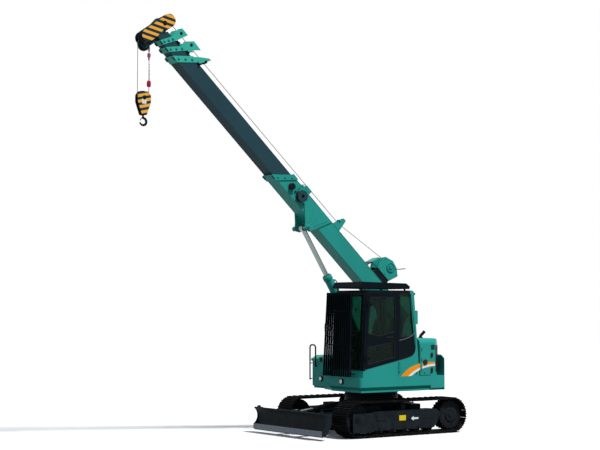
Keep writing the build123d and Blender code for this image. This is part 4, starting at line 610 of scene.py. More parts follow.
for hand, sign in (("left", 1), ("right", -1)):
    name = hand.title()
    low, high = ends("sprocket_" + hand)
    trackLow, trackHigh = ends("track_" + hand)
    radius = (trackHigh[2] - trackLow[2]) / 2
    outer = max(abs(low[1]), abs(high[1])) * sign
    rearX, frontX = trackLow[0] + radius, trackHigh[0] - radius
    cover = lathe([(r * running["hubRadius"], h) for r, h in wheelCover], 48)
    hub = merged(cover, boltRing(running["hubRadius"] * 0.80, running["hubBolts"], 0.018, 0.012, 0.1),
                 boltRing(running["hubRadius"] * 0.30, 3, 0.020, 0.024))
    build("driveHub" + name, onFace(hub, sign, outer, rearX, radius), "frame_paint", "undercarriage")
    frameLow, frameHigh = ends("track_frame_" + hand)
    face = max(abs(frameLow[1]), abs(frameHigh[1])) * sign
    cap = merged(lathe([(r * running["capRadius"], h * 0.8) for r, h in wheelCover], 36),
                 boltRing(running["capRadius"] * 0.78, 6, 0.014, 0.011))
    rollerLow = ends("track_rollers_" + hand)[0][2]
    inner = radius - track["grouser"] - 0.036
    corner = np.arange(4 * running["teeth"])
    turn = corner * np.pi / (2 * running["teeth"])
    ripple = np.where((corner // 2) % 2 == 0, inner, inner - running["toothDepth"])
    wheel = prism(np.stack([ripple * np.cos(turn), ripple * np.sin(turn)], -1), running["wheelWidth"], 0.003)
    idler = lathe([(0.03, -0.035), (inner - 0.05, -0.035), (inner - 0.03, -0.028), (inner, -0.028),
                   (inner + 0.002, 0.0), (inner, 0.028), (inner - 0.03, 0.028), (inner - 0.05, 0.035),
                   (0.03, 0.035), (0.03, -0.035)], 56)
    trackY = (trackLow[1] + trackHigh[1]) / 2
    build("driveTeeth" + name, onFace(wheel, sign, trackY, rearX, radius), "running_gear", "undercarriage")
    build("idlerWheel" + name, onFace(idler, sign, trackY, frontX, radius), "running_gear", "undercarriage")
    small = merged(lathe([(r * running["rollerCap"], h * 0.6) for r, h in wheelCover], 24),
                   boltRing(0.021, 3, 0.010, 0.010))
    caps = [onFace(cap, sign, face, frontX, radius)]
    caps += [onFace(small, sign, face, x, rollerLow + 0.088) for x in np.linspace(-0.6, 0.6, 5)]
    build("rollerCaps" + name, merged(*caps), "running_gear", "undercarriage")
    lid = merged(prism(rounded(0.19, 0.10, 0.02), 0.010),
                 spread(hexNut(0.016, 0.010),
                        [(x, y, 0.008) for x in (-0.08, 0.08) for y in (-0.036, 0.036)]))
    strap = prism(softened([(-0.50, -0.055), (0.50, -0.055), (0.47, 0.055), (-0.47, 0.055)], 0.02), 0.008)
    build("tensionCover" + name, merged(onFace(lid, sign, face + sign * 0.004, frontX - 0.52, radius + 0.01),
                                        onFace(strap, sign, face + sign * 0.002, -0.12, radius + 0.015)),
          "frame_paint", "undercarriage")
    build("blankPlate" + name, onFace(prism(rounded(0.155, 0.095, 0.008), 0.003, 0.001), sign,
                                      face + sign * 0.0072, 0.07, radius - 0.008), "yellow_plate",
          "undercarriage")
    arrow = [(0.088, 0.0), (0.022, 0.043), (0.022, 0.016), (-0.088, 0.016), (-0.088, -0.016), (0.022, -0.016),
             (0.022, -0.043)]
    build("travelArrow" + name, onFace(prism(arrow, 0.002, 0.0006), sign, face + sign * 0.0068, -0.215,
                                       radius - 0.028), "white_plate", "undercarriage")

low, high = ends("slew_ring")
turn = np.linspace(0, 2 * np.pi, 96, endpoint=False)
circle = np.stack([np.cos(turn), np.sin(turn), 0 * turn], -1)
build("slewSeal", pipe(circle * (high[0] + 0.001) + [0, 0, (low[2] + high[2]) / 2], 0.007, 10, closed=True),
      "rubber", "undercarriage")
topPlate = prism(rounded(0.34, 0.30, 0.04), 0.010)
coverBolts = spread(hexNut(0.020, 0.012), [(x, y, 0.010) for x in (-0.14, 0.14) for y in (-0.12, 0, 0.12)])
coverPlaces = [(x, y, 0.545) for x in (0.475, -0.475) for y in (0.36, -0.36)]
build("carbodyCovers", spread(merged(topPlate, coverBolts), coverPlaces), "frame_paint", "undercarriage")
print("running gear made")

# dozer blade

blade = {"boltPitch": 0.145, "lug": [(-0.045, -0.02), (0.045, -0.02), (0.035, 0.045), (-0.035, 0.045)]}
low, high = ends("cutting_edge")
count = int((high[1] - low[1]) / blade["boltPitch"])
y = np.linspace(low[1] + 0.06, high[1] - 0.06, count)
head = lathe([(0.0, -0.002), (0.014, -0.002), (0.014, 0.003), (0.010, 0.0055), (0.0, 0.006)], 16)
heads = merged(*[placed(head, (high[0], spot, (low[2] + high[2]) / 2 + 0.018), (0, 0, -1), (0, 1, 0),
                        (1, 0, 0)) for spot in y])
build("ploughBolts", heads, "worn_edge", "blade")
low, high = ends("dozer_blade")
seam = pipe([(high[0] - 0.028, high[1] * -0.983, high[2] - 0.016),
             (high[0] - 0.028, high[1] * 0.983, high[2] - 0.016)], 0.012, 10)
build("topRail", seam, "frame_paint", "blade")
lug = prism(softened(blade["lug"], 0.02), 0.016)
lugs = [onSide(lug, place, high[0] - 0.06, high[2] - 0.02) for place in (low[1] + 0.10, high[1] - 0.10)]
build("liftingLugs", merged(*lugs), "frame_paint", "blade")
foot = np.array(joints["blade_ram_tilt"]["pos_m"])
ram = joints["blade_ram_slide"]["axis"]
axisX, axisY = np.array(ram, float), np.array([0.0, 1.0, 0.0])
gland = lathe([(0.0215, -0.03), (0.053, -0.03), (0.055, -0.025), (0.055, 0.004), (0.050, 0.010),
               (0.030, 0.012), (0.0215, 0.012), (0.0215, -0.03)], 32)
build("ramGland", placed(gland, foot + 0.69 * axisX, np.cross(axisY, axisX), axisY, axisX), "running_gear",
      "blade_ram")
print("blade made")

# upper structure

# the groove between the side panels, which the stripes dip into, and how far they stand off the wall
panel = {"grooveFront": -0.325, "grooveRear": -0.400, "grooveEdge": 0.006, "grooveDepth": 0.0102,
         "lift": 0.0014}
sideY = ends("cab_base")[1][1]


def ribbon(upperEdge, lowerEdge):
    # a thin strip between two curves in x and z, laid on the side wall and lifted off it a little
    a, b = smoothPath([(x, 0, z) for x, z in upperEdge],
                      12), smoothPath([(x, 0, z) for x, z in lowerEdge], 12)
    share = np.linspace(0, 1, 5)[:, None, None]
    sheet = a * (1 - share) + b * share
    behind, ahead = panel["grooveFront"] - sheet[..., 0], sheet[..., 0] - panel["grooveRear"]
    inward = np.clip(behind / panel["grooveEdge"], 0, 1) * np.clip(ahead / panel["grooveEdge"], 0, 1)
    outerY = sideY + panel["lift"] - panel["grooveDepth"] * inward
    front = np.stack([sheet[..., 0], outerY, sheet[..., 2]], -1)
    back = front - [0, 0.0012, 0]
    rows, columns = front.shape[:2]
    faces = gridFaces(rows, columns)
    points = np.concatenate([front.reshape(-1, 3), back.reshape(-1, 3)])
    rim = np.concatenate([np.arange(columns), np.arange(1, rows) * columns + columns - 1,
                          (rows - 1) * columns + np.arange(columns - 1)[::-1],
                          np.arange(1, rows - 1)[::-1] * columns])
    after, far = np.roll(rim, -1), rows * columns
    sides = np.stack([rim, after, after + far, rim + far], -1).tolist()
    return points, [face[::-1] for face in faces] + [[c + far for c in face] for face in faces] + sides


stripe = {
    "upper": [(0.109, 1.0745), (-0.072, 1.210), (-0.29, 1.286), (-0.535, 1.318), (-0.700, 1.320)],
    "middle": [(-0.059, 1.0745), (-0.192, 1.157), (-0.363, 1.228), (-0.535, 1.271), (-0.706, 1.288)],
    "lower": [(-0.139, 1.0745), (-0.265, 1.146), (-0.412, 1.203), (-0.560, 1.233), (-0.706, 1.244)],
}
build("sideStripeOrange", ribbon(stripe["upper"], stripe["middle"]), "orange_paint", "upper")
build("sideStripeWhite", ribbon(stripe["middle"], stripe["lower"]), "white_plate", "upper")

capRibs = merged(lathe([(0.0, -0.004), (0.052, -0.004), (0.052, 0.010), (0.046, 0.016), (0.0, 0.018)], 40),
                 box(0.088, 0.018, 0.030, 0.004))
build("fuelCap", onFace(capRibs, 1, sideY + 0.002, -0.47, 1.32), "dark_plastic", "upper")
handle = [(0, 0.0, -0.095), (0, 0.030, -0.088), (0, 0.034, -0.06), (0, 0.034, 0.06), (0, 0.030, 0.088),
          (0, 0.0, 0.095)]
build("panelGrab", pipe(smoothPath(handle, 6) + [0.150, sideY, 1.245], 0.008, 12, (1, 0, 0)), "teal_paint",
      "upper")
latch = merged(prism(rounded(0.05, 0.085, 0.012), 0.008),
               placed(prism(rounded(0.026, 0.055, 0.010), 0.010), (0, 0, 0.007)))
latches = [onFace(latch, 1, sideY + 0.003, -0.635, 1.45), onFace(latch, 1, sideY + 0.003, -0.635, 1.17)]
hinge = lathe([(0.0, -0.035), (0.009, -0.035), (0.009, 0.035), (0.0, 0.035)], 14)
latches += [placed(hinge, (-0.390, sideY - 0.004, z)) for z in (1.17, 1.36, 1.55)]
latches += [onFace(boltRing(0.0, 1, 0.020, 0.012), 1, sideY, x, 1.122) for x in (-0.26, -0.45, -0.60)]
build("panelLatches", merged(*latches), "dark_plastic", "upper")
low, high = ends("tool_box_lid")
clasp = merged(box(0.020, 0.075, 0.090, 0.004), placed(box(0.014, 0.030, 0.050, 0.004), (0.014, 0, -0.015)))
build("lidClasp", placed(clasp, (high[0] + 0.004, (low[1] + high[1]) / 2 + 0.03, low[2] + 0.030)),
      "dark_plastic", "lid")
boxHigh = ends("tool_box")[1]
keeper = merged(box(0.016, 0.060, 0.050, 0.004),
                onFront(lathe([(0.0, -0.02), (0.007, -0.02), (0.007, 0.02), (0.0, 0.02)], 12),
                        (0.012, 0, 0.005)))
build("boxKeeper", placed(keeper, (boxHigh[0] + 0.005, (low[1] + high[1]) / 2 + 0.03, boxHigh[2] - 0.075)),
      "black_paint", "upper")
lamps = [(ends("cab_base")[1][0], 0.46, 0.985), (boxHigh[0], -0.64, 0.985)]
bezelRing = lathe([(0.044, 0.0), (0.050, 0.0), (0.052, 0.022), (0.046, 0.026), (0.044, 0.022), (0.044, 0.0)],
                  32)
bezel = merged(prism(rounded(0.13, 0.10, 0.02), 0.010), bezelRing)
build("lampBezels", merged(*[onFront(bezel, place) for place in lamps]), "dark_plastic", "upper")
low, high = ends("exhaust")
foot = np.array([high[0] - 0.029, (low[1] + high[1]) / 2, low[2]])
bend = [foot] + [foot + step for step in ((0, 0, 0.024), (-0.012, 0, 0.046), (-0.048, 0, 0.076),
                                          (-0.090, 0, 0.112))]
stack = pipe(smoothPath(bend), 0.0285, 24, (0, 1, 0))
collarRing = placed(lathe([(0.028, 0.0), (0.052, 0.0), (0.052, 0.006), (0.036, 0.010), (0.036, 0.020),
                           (0.028, 0.020), (0.028, 0.0)], 32), foot)
lip = placed(lathe([(0.024, -0.004), (0.031, -0.004), (0.032, 0.0), (0.031, 0.004), (0.024, 0.004),
                    (0.024, -0.004)], 32), foot + (-0.090, 0, 0.112), (0.63, 0, 0.78), (0, 1, 0),
             (-0.78, 0, 0.63))
build("exhaustPipe", merged(stack, collarRing, lip), "black_paint", "hood", replaced=["exhaust"])
weightHigh = ends("counterweight")[1]
turn = np.linspace(0, np.pi, 13)
ringPath = np.stack([np.cos(turn) * 0.045, 0 * turn, np.sin(turn) * 0.06], -1)
eyes = [pipe(ringPath + [-1.10, side * 0.55, weightHigh[2] - 0.004], 0.011, 12, (0, 1, 0))
        for side in (-1, 1)]
build("weightEyes", merged(*eyes), "black_paint", "upper")
slats = [(-0.665, sideY - 0.004, z) for z in np.arange(1.565, 1.640, 0.030)]
build("hoodSlats", spread(box(0.085, 0.010, 0.014, 0.002), slats), "black_paint", "hood")
print("upper structure made")

# cab

cab = {"seal": 0.009, "bead": 0.006, "grab": 0.010, "corner": 0.13, "frontPost": 0.925, "frontLow": 1.19}


def paneRims(node, axis, side):
    # the corners of a node's panes that face one way along an axis, in no order
    mesh = cadNodes[node].data
    points = np.empty(len(mesh.vertices) * 3)
    mesh.vertices.foreach_get("co", points)
    points = points.reshape(-1, 3)
    normals = np.empty(len(mesh.polygons) * 3)
    mesh.polygons.foreach_get("normal", normals)
    facing = normals.reshape(-1, 3)[:, axis] * side > 0.9
    starts, corners = np.empty(len(mesh.polygons), int), np.empty(len(mesh.loops), int)
    mesh.polygons.foreach_get("loop_start", starts)
    mesh.loops.foreach_get("vertex_index", corners)
    used = np.concatenate([corners[starts[facing] + step] for step in range(3)])
    flat = np.unique(np.round(points[used], 5), axis=0)
    return flat


def ordered(flat, axis):
    # one pane's corners in order of their angle about its middle
    u, v = [k for k in range(3) if k != axis]
    middle = (flat.min(0) + flat.max(0)) / 2
    return flat[np.argsort(np.arctan2(flat[:, v] - middle[v], flat[:, u] - middle[u]))]


upright = (0, 1, 0)
sealShapes = []
side = paneRims("cab_glass", 1, 1)
quarter = ordered(side[side[:, 1] > sideY - 0.1], 1)
sealShapes.append(pipe(quarter + [0, 0.008, 0], cab["seal"], 8, upright, closed=True))
side = paneRims("cab_glass", 1, -1)
right = ordered(side[side[:, 1] < 0.3], 1)
sealShapes.append(pipe(right - [0, 0.008, 0], cab["seal"], 8, upright, closed=True))
for way in (1, -1):
    flat = paneRims("cab_glass", 0, way)
    keep = flat[:, 0] * way > (0.6 if way > 0 else 0.0)
    sealShapes.append(pipe(ordered(flat[keep], 0) + [way * 0.006, 0, 0], cab["seal"], 8, (1, 0, 0),
                           closed=True))
frontPane = paneRims("cab_glass", 0, 1)
frontPane = frontPane[frontPane[:, 0] > 0.6]
fall, foot = np.polyfit(frontPane[:, 2], frontPane[:, 0], 1)
trim = {"width": 0.118, "height": frontPane[:, 2].max() - frontPane[:, 2].min() - 0.012, "lift": 0.0085}
middleZ = (frontPane[:, 2].max() + frontPane[:, 2].min()) / 2
slant = np.array([fall, 0, 1.0]) / math.hypot(fall, 1.0)
facing = np.array([1.0, 0, -fall]) / math.hypot(fall, 1.0)
trimPlace = np.array([foot + fall * middleZ, frontPane[:, 1].max() - trim["width"] / 2 - 0.006,
                      middleZ]) + facing * trim["lift"]
trimSheet = merged(prism(rounded(trim["width"], trim["height"], 0.022), 0.006, 0.002),
                   spread(hexNut(0.014, 0.007),
                          [(0.036, share * trim["height"], 0.006) for share in (-0.42, -0.14, 0.14, 0.42)]))
build("frontPillarTrim", placed(trimSheet, trimPlace, (0, 1, 0), slant, facing), "black_paint", "upper")
build("windowSeals", merged(*sealShapes), "rubber", "upper")
doorPanes = paneRims("door_glass", 1, 1)
split = doorPanes[:, 2] > 1.75
build("doorSeals",
      merged(*[pipe(ordered(doorPanes[part], 1) + [0, 0.008, 0], cab["seal"], 8, upright, closed=True)
               for part in (split, ~split)]), "rubber", "door")

bead = [(0.955, 1.212), (0.60, 1.283), (0.25, 1.353), (0.03, 1.397), (-0.11, 1.432), (-0.19, 1.475),
        (-0.232, 1.55), (-0.232, 1.70), (-0.205, 2.05), (-0.165, 2.35), (-0.128, 2.575)]
beadPath = smoothPath([(x, sideY + 0.001, z) for x, z in bead])
build("panelBead", pipe(beadPath, cab["bead"], 8, upright), "rubber", "upper")
belt = [(0.140, 1.730), (0.02, 1.752), (-0.10, 1.785), (-0.19, 1.835), (-0.222, 1.875)]
beltPath = smoothPath([(x, sideY + 0.001, z) for x, z in belt])
build("beltBead", pipe(beltPath, 0.004, 8, upright), "machined_steel", "upper")
grab = [(0.925, 0.004, 2.545), (0.955, 0.035, 2.535), (0.985, 0.045, 2.48), (0.985, 0.045, 2.36),
        (0.950, 0.040, 2.27), (0.905, 0.004, 2.245)]
grabPath = smoothPath([(x, sideY + lift, z) for x, lift, z in grab])
build("pillarGrab", pipe(grabPath, cab["grab"], 12, upright), "black_paint", "upper")
doorLow = ends("cab_door")[0]
cup = merged(prism(rounded(0.17, 0.075, 0.03), 0.010),
             placed(prism(rounded(0.125, 0.028, 0.012), 0.016), (0, 0, 0.010)),
             placed(lathe([(0.0, 0.0), (0.011, 0.0), (0.011, 0.008), (0.0, 0.009)], 16),
                    (-0.062, 0.025, 0.004)))
build("doorLatch", onFace(cup, 1, sideY + 0.004, doorLow[0] + 0.19, 1.76), "dark_plastic", "door")
vent = spread(box(0.012, 0.105, 0.012, 0.002), [(0, 0, z) for z in np.linspace(-0.09, 0.09, 7)])
build("rearVent", placed(vent, (-0.322, 0.93, 2.145)), "dark_plastic", "upper")
lamp = merged(box(0.030, 0.10, 0.045, 0.008), placed(box(0.022, 0.020, 0.060, 0.003), (0.020, 0, -0.030)))
build("rearLamp", placed(lamp, (-0.258, 0.93, 2.575)), "dark_plastic", "upper")
loopPath = smoothPath([(0.93, 0.070, 2.02), (0.985, 0.030, 2.055), (1.01, -0.030, 2.055),
                       (1.02, -0.065, 2.02), (1.02, -0.070, 1.90), (1.01, -0.060, 1.82),
                       (0.985, -0.010, 1.790), (0.955, 0.070, 1.79)], 8)
build("frontLoop", pipe(loopPath, 0.012, 12, (0.3, 0, 1)), "teal_paint", "upper")
guardLow, guardHigh = ends("cab_front_guard")
clamp = merged(box(0.034, 0.046, 0.030, 0.004), onFront(hexNut(0.018, 0.012), (0.022, 0, 0)))
clampPlaces = []
for z in (1.15, 1.552, 1.836, 2.30, 2.54):
    share = (z - guardLow[2]) / (guardHigh[2] - guardLow[2])
    x = guardHigh[0] - 0.012 - (guardHigh[0] - guardLow[0] - 0.03) * share * 0.62
    clampPlaces.append((x, 0.865 + 0.020 * share - 0.02 * (1 - share), z))
build("guardClamps", spread(clamp, clampPlaces), "black_paint", "upper")
wiperPath = smoothPath([(0.975, 0.55, 1.235), (0.992, 0.55, 1.26), (0.985, 0.42, 1.60), (0.968, 0.34, 1.80)],
                       8)
wiperBlade = pipe([(0.975, 0.37, 1.52), (0.955, 0.31, 2.02)], 0.007, 8, (1, 0, 0.2))
build("wiper", merged(pipe(wiperPath, 0.006, 8, (1, 0, 0.2)), wiperBlade), "dark_plastic", "upper")

# the operator's place, seen through the panes
seat = {"cushion": (0.465, 0.445, 0.112), "back": (0.094, 0.425, 0.565), "rest": (0.076, 0.245, 0.135)}


def cushionShape(size, crown, pinch, power=0.35, rows=24, columns=40):
    # a rounded block from powers of sines and cosines, crowned on its faces and pulled in on its sides
    lat = np.linspace(-np.pi / 2, np.pi / 2, rows)[1:-1, None]
    lon = np.linspace(0, 2 * np.pi, columns, endpoint=False)[None, :]

    def bent(value):
        return np.sign(value) * np.abs(value) ** power

    x, y = bent(np.cos(lat)) * bent(np.cos(lon)), bent(np.cos(lat)) * bent(np.sin(lon))
    z = bent(np.sin(lat)) + 0 * lon
    z = z * (1 + crown * (1 - x**2) * (1 - y**2))
    x, y = x * (1 - pinch * (1 - y**2)), y * (1 - pinch * (1 - x**2))
    points = np.stack([x, y, z], -1).reshape(-1, 3) * np.array(size) / 2
    poles = np.array([[0, 0, -size[2] / 2 * (1 + crown)], [0, 0, size[2] / 2 * (1 + crown)]])
    count, last = len(points), (rows - 3) * columns
    around = np.arange(columns)
    fans = np.stack([0 * around + count, (around + 1) % columns, around], -1).tolist()
    fans += np.stack([0 * around + count + 1, last + around, last + (around + 1) % columns], -1).tolist()
    return np.concatenate([points, poles]), gridFaces(rows - 2, columns, closeColumns=True) + fans


low, high = ends("operator_seat")
seatY = (low[1] + high[1]) / 2
lean = np.array([-0.30, 0, 1.0]) / math.hypot(0.30, 1.0)
leanX = np.array([lean[2], 0, -lean[0]])
backPlace = np.array([low[0] + 0.075, seatY, low[2] + 0.40])
restPlace = backPlace + lean * 0.36 - leanX * 0.02 + [0.03, 0, -0.055]
base = placed(cushionShape(seat["cushion"], 0.16, 0.05), (low[0] + 0.345, seatY, low[2] + 0.075))
rest = placed(cushionShape(seat["back"], 0.0, 0.04), backPlace, leanX, (0, 1, 0), lean)
headRest = placed(cushionShape(seat["rest"], 0.1, 0.05), restPlace, leanX, (0, 1, 0), lean)
cushionPieces = [build("seatCushion", base, "seat_cloth", "upper", replaced=["operator_seat"]),
                 build("seatBack", rest, "seat_cloth", "upper"),
                 build("seatHeadRest", headRest, "seat_cloth", "upper")]


def evaluated(thing):
    # the object as its modifiers leave it
    return thing.evaluated_get(bpy.context.evaluated_depsgraph_get())


def puffed(piece, voxel=0.006, cap=0.011, frames=20):
    # the cushion swells as cloth under light pressure, no point further than the cap, then is smoothed once
    scratch = bpy.data.objects.new("puffing", piece.data.copy())
    bpy.context.scene.collection.objects.link(scratch)
    skin = scratch.modifiers.new("skin", "REMESH")
    skin.mode, skin.voxel_size = "VOXEL", voxel
    scratch.data = bpy.data.meshes.new_from_object(evaluated(scratch))
    scratch.modifiers.clear()
    start, swollen = (np.empty(len(scratch.data.vertices) * 3) for _ in range(2))
    scratch.data.vertices.foreach_get("co", start)
    cloth = scratch.modifiers.new("cloth", "CLOTH")
    cloth.settings.use_pressure = True
    cloth.settings.uniform_pressure_force = 4.0
    cloth.settings.effector_weights.gravity = 0.0
    for frameNumber in range(1, frames + 1):
        bpy.context.scene.frame_set(frameNumber)
    puffedMesh = evaluated(scratch).data
    puffedMesh.vertices.foreach_get("co", swollen)
    start, move = start.reshape(-1, 3), (swollen - start).reshape(-1, 3)
    move *= np.minimum(1.0, cap / np.maximum(np.linalg.norm(move, axis=1, keepdims=True), 1e-9))
    scratch.modifiers.clear()
    scratch.data.vertices.foreach_set("co", (start + move).ravel())
    scratch.modifiers.new("smooth", "SUBSURF").levels = 1
    finished = bpy.data.meshes.new_from_object(evaluated(scratch))
    finished.polygons.foreach_set("use_smooth", [True] * len(finished.polygons))
    finished.materials.clear()
    finished.materials.append(finishes["seat_cloth"])
    piece.data = finished
    bpy.data.objects.remove(scratch)
    bpy.context.scene.frame_set(1)


for piece in cushionPieces:
    puffed(piece)
boot = lathe([(0.0, 0.0), (0.048, 0.0), (0.046, 0.008), (0.036, 0.014), (0.040, 0.020), (0.029, 0.027),
              (0.033, 0.033), (0.020, 0.042), (0.0, 0.044)], 24)
knob = lathe([(0.0, 0.0), (0.015, 0.002), (0.022, 0.018), (0.024, 0.036), (0.017, 0.050), (0.0, 0.055)], 24)
levers = []
for y, top in ((0.8675, 1.625), (0.2375, 1.665)):
    for x in (0.42, 0.49):
        levers += [placed(boot, (x, y, top)), placed(knob, (x + 0.036, y, top + 0.155))]
monitor = merged(box(0.03, 0.22, 0.16, 0.010), placed(box(0.004, 0.19, 0.13, 0.001), (-0.016, 0, 0)))
levers.append(placed(monitor, (0.76, 0.27, 1.96)))
build("leverBoots", merged(*levers), "dark_plastic", "upper")
pedals = [placed(box(0.11, 0.075, 0.016, 0.004), (0.80, y, 1.165), (0.9, 0, 0.436), (0, 1, 0),
                 (-0.436, 0, 0.9)) for y in (0.50, 0.60, 0.72)]
travel = [pipe(smoothPath([(0.74, y, 1.12), (0.76, y, 1.35), (0.70, y, 1.52)], 8), 0.011, 10, (0, 1, 0))
          for y in (0.51, 0.61)]
build("pedals", merged(*pedals, *travel), "black_paint", "upper")
print("cab made")

# the shell is black on its sides and teal on its rear pillar and its lower wedge, with a round corner between
shell = Paint("cabShellPaint", Coat_Weight=0.0, Specular_IOR_Level=0.03)
coords, x, y, z = shell.place()
aboveWedge = z - (1.209 + (0.97 - x) * 0.2)
beforePillar = x + 0.235 - (z - 1.57) * 0.112
short = [(cab["corner"] - distance).maths("MAXIMUM", 0.0) for distance in (aboveWedge, beforePillar)]
reach = (short[0] * short[0] + short[1] * short[1]).maths("SQRT")
outside = (reach > cab["corner"]) * (1.0 - (x > cab["frontPost"]) * (z > cab["frontLow"]))
scuffs = shell.scuffs(coords)
teal = shell.mix(scuffs * 0.35, shell.toned(shell.noise(coords, 1.3, 3.0), paintWork["teal"]),
                 paintWork["tealWorn"])
dark = shell.mix(scuffs * 0.5, paintWork["black"], paintWork["blackWorn"])
shell.bump(shell.noise(coords, 240.0), 0.09, 0.002)
cadNodes["cab_shell"].data.materials[0] = shell.finish(shell.mix(outside, dark, teal), scuffs * 0.2 + 0.34)
print("cab shell painted")

# boom

boom = {"pivot": (1.062, 1.750), "lift": (3.660, 1.760), "front": 4.883, "low": 1.915, "high": 2.235,
        "half": 0.150, "mouth": 1.03, "middle": 2.075, "bolt": 0.024, "weld": 0.006, "ropeLine": 2.378}
# collars: front along the boom, how far the mouth runs back per unit of height, crown, length, the pin's run
collars = {
    "boom_collar_2": (7.725, 0.95, 2.220, 0.150, 0.520),
    "boom_collar_3": (7.913, 0.80, 2.206, 0.110, 0.310),
    "boom_collar_4": (8.063, 0.50, 2.193, 0.100, 0.190),
}


def boomSpan(node):
    # lowest and highest place of a node along the boom, to its left and across it
    mesh = cadNodes[node].data
    points = np.empty(len(mesh.vertices) * 3)
    mesh.vertices.foreach_get("co", points)
    points = points.reshape(-1, 3)
    local = np.stack([points @ along, points[:, 1] - boomY, points @ across], -1)
    return local.min(0), local.max(0)


def outwards(shape, lateral, run, rise, sign=1):
    # local z points out of the boom's left (+1) or right (-1) side
    origin = run * along + rise * across + np.array([0, boomY + sign * lateral, 0])
    return placed(shape, origin, along, -sign * across, (0, sign, 0))


pinCap = merged(lathe([(0.0, -0.003), (0.058, -0.003), (0.058, 0.006), (0.052, 0.012), (0.020, 0.012),
                       (0.016, 0.008), (0.0, 0.008)], 40),
                placed(merged(box(0.075, 0.026, 0.010, 0.002),
                              spread(hexNut(0.016, 0.010), [(-0.024, 0, 0.009), (0.024, 0, 0.009)])),
                       (0, 0.040, 0.014)))
build("liftPinCaps", merged(*[outwards(pinCap, 0.172, *boom["lift"], sign) for sign in (-1, 1)]),
      "teal_paint", "boom")
build("bootPinCaps", merged(*[outwards(pinCap, 0.1305, *boom["pivot"], sign) for sign in (-1, 1)]),
      "teal_paint", "upper")

# folded ribs on the bracket's plates
ribs = []
for sign in (-1, 1):
    for start, end in (((3.72, 1.84), (3.79, 2.10)), ((3.60, 1.86), (3.44, 2.17)),
                       ((3.655, 1.83), (3.665, 2.06))):
        points = [run * along + rise * across + [0, boomY + sign * 0.1705, 0] for run, rise in (start, end)]
        ribs.append(pipe(points, 0.007, 8, upright))
build("bracketRibs", merged(*ribs), "teal_paint", "boom")

seams = []
for sign in (-1, 1):
    for rise in (boom["low"] + 0.004, boom["high"] - 0.004):
        endRun = boom["front"] - 0.15 - boom["mouth"] * (rise - boom["low"])
        seams.append(pipe([run * along + rise * across + [0, boomY + sign * (boom["half"] - 0.001), 0]
                           for run in (1.42, endRun)], boom["weld"], 8, upright))
build("boomWelds", merged(*seams), "teal_paint", "boom")

# bolts that hold the slide pads: rows across the mouth of the base and of each collar
padBolt = merged(placed(box(0.050, 0.040, 0.006, 0.002), (0, 0, 0.003)),
                 placed(hexNut(boom["bolt"], 0.012), (0, 0, 0.011)))
rows = [("boom", "basePadBolts", boom["front"], boom["mouth"], boom["low"], boom["high"], 0.140, 0.166)]
for node, (front, lean, crown, length, pinRun) in collars.items():
    half = boomSpan(node)[1][1]
    rows.append(("section_" + node[-1], "padBolts" + node[-1], front, lean,
                 boom["middle"] - (crown - boom["middle"]), crown, length, half))
for body, name, front, lean, low, high, length, half in rows:
    bolts = []
    for share in (0.16, 0.5, 0.84):
        rise = low + (high - low) * share
        run = front - length / 2 - lean * (rise - low)
        bolts += [outwards(padBolt, half, run, rise, sign) for sign in (-1, 1)]
    build(name, merged(*bolts), "teal_paint", body)

# the pins between the collars' fins: dark rollers on them, caps outside
for node, (front, lean, crown, length, pinRun) in collars.items():
    number, half = node[-1], boomSpan(node)[1][1]
    inner = half - 0.0090
    # under the rope by its radius, a hair and the radius of the roller's groove
    pinRise = boom["ropeLine"] - 0.006 - 0.0003 - 0.018
    roller = lathe([(0.0175, -inner + 0.004), (0.030, -inner + 0.004), (0.030, -0.030), (0.0178, -0.012),
                    (0.0178, 0.012), (0.030, 0.030), (0.030, inner - 0.004), (0.0175, inner - 0.004),
                    (0.0175, -inner + 0.004)], 28)
    cap = merged(lathe([(0.0, -0.002), (0.027, -0.002), (0.027, 0.006), (0.020, 0.009), (0.0, 0.009)], 28),
                 placed(hexNut(0.020, 0.012), (0, 0, 0.012)))
    caps = [outwards(cap, half, front - pinRun, pinRise, sign) for sign in (-1, 1)]
    build("ropeRoller" + number, merged(onBoom(roller, 0, front - pinRun, pinRise), *caps), "running_gear",
          "section_" + number)
    notch = merged(box(0.060, 0.034, 0.022, 0.004),
                   placed(lathe([(0.0, 0.0), (0.018, 0.0), (0.018, 0.020), (0.0, 0.020)], 20),
                          (-0.02, 0, 0.008)))
    share = 0.94
    run = front - length - lean * (crown - boom["middle"] + 0.145) * share - 0.03
    rise = boom["middle"] + (crown - boom["middle"]) * (2 * share - 1)
    build("padKeepers" + number, outwards(notch, half - 0.004, run, rise + 0.012), "black_paint",
          "section_" + number)

# the cable reel on the boom's side and the small guide wheel before it
reelHigh = boomSpan("hose_reel")[1]
reel = {"place": (4.170, 2.065), "small": (4.437, 2.053), "turns": 6}
flange = merged(lathe([(0.0, 0.0), (0.030, 0.0), (0.034, 0.010), (0.098, 0.006), (0.105, 0.010),
                       (0.109, 0.006), (0.109, 0.0), (0.0, 0.0)][::-1], 56), boltRing(0.022, 3, 0.012, 0.024),
                spread(box(0.012, 0.050, 0.006, 0.002), [(0, 0.062, 0.009), (0, -0.062, 0.009)]),
                placed(spread(box(0.012, 0.050, 0.006, 0.002), [(0, 0.062, 0), (0, -0.062, 0)]),
                       (0, 0, 0.009), (0, 1, 0), (-1, 0, 0), (0, 0, 1)))
build("reelFace", outwards(flange, reelHigh[1], *reel["place"]), "slate_paint", "boom")
turn = np.linspace(0, 2 * np.pi * reel["turns"], reel["turns"] * 36 + 1)
wound = np.stack([np.cos(turn) * 0.080, np.sin(turn) * 0.080, np.linspace(-0.022, 0.022, len(turn))], -1)
middleY = (reelHigh[1] + boom["half"]) / 2 - 0.002
windings = pipe(wound, 0.0045, 8, (0, 0, 1))
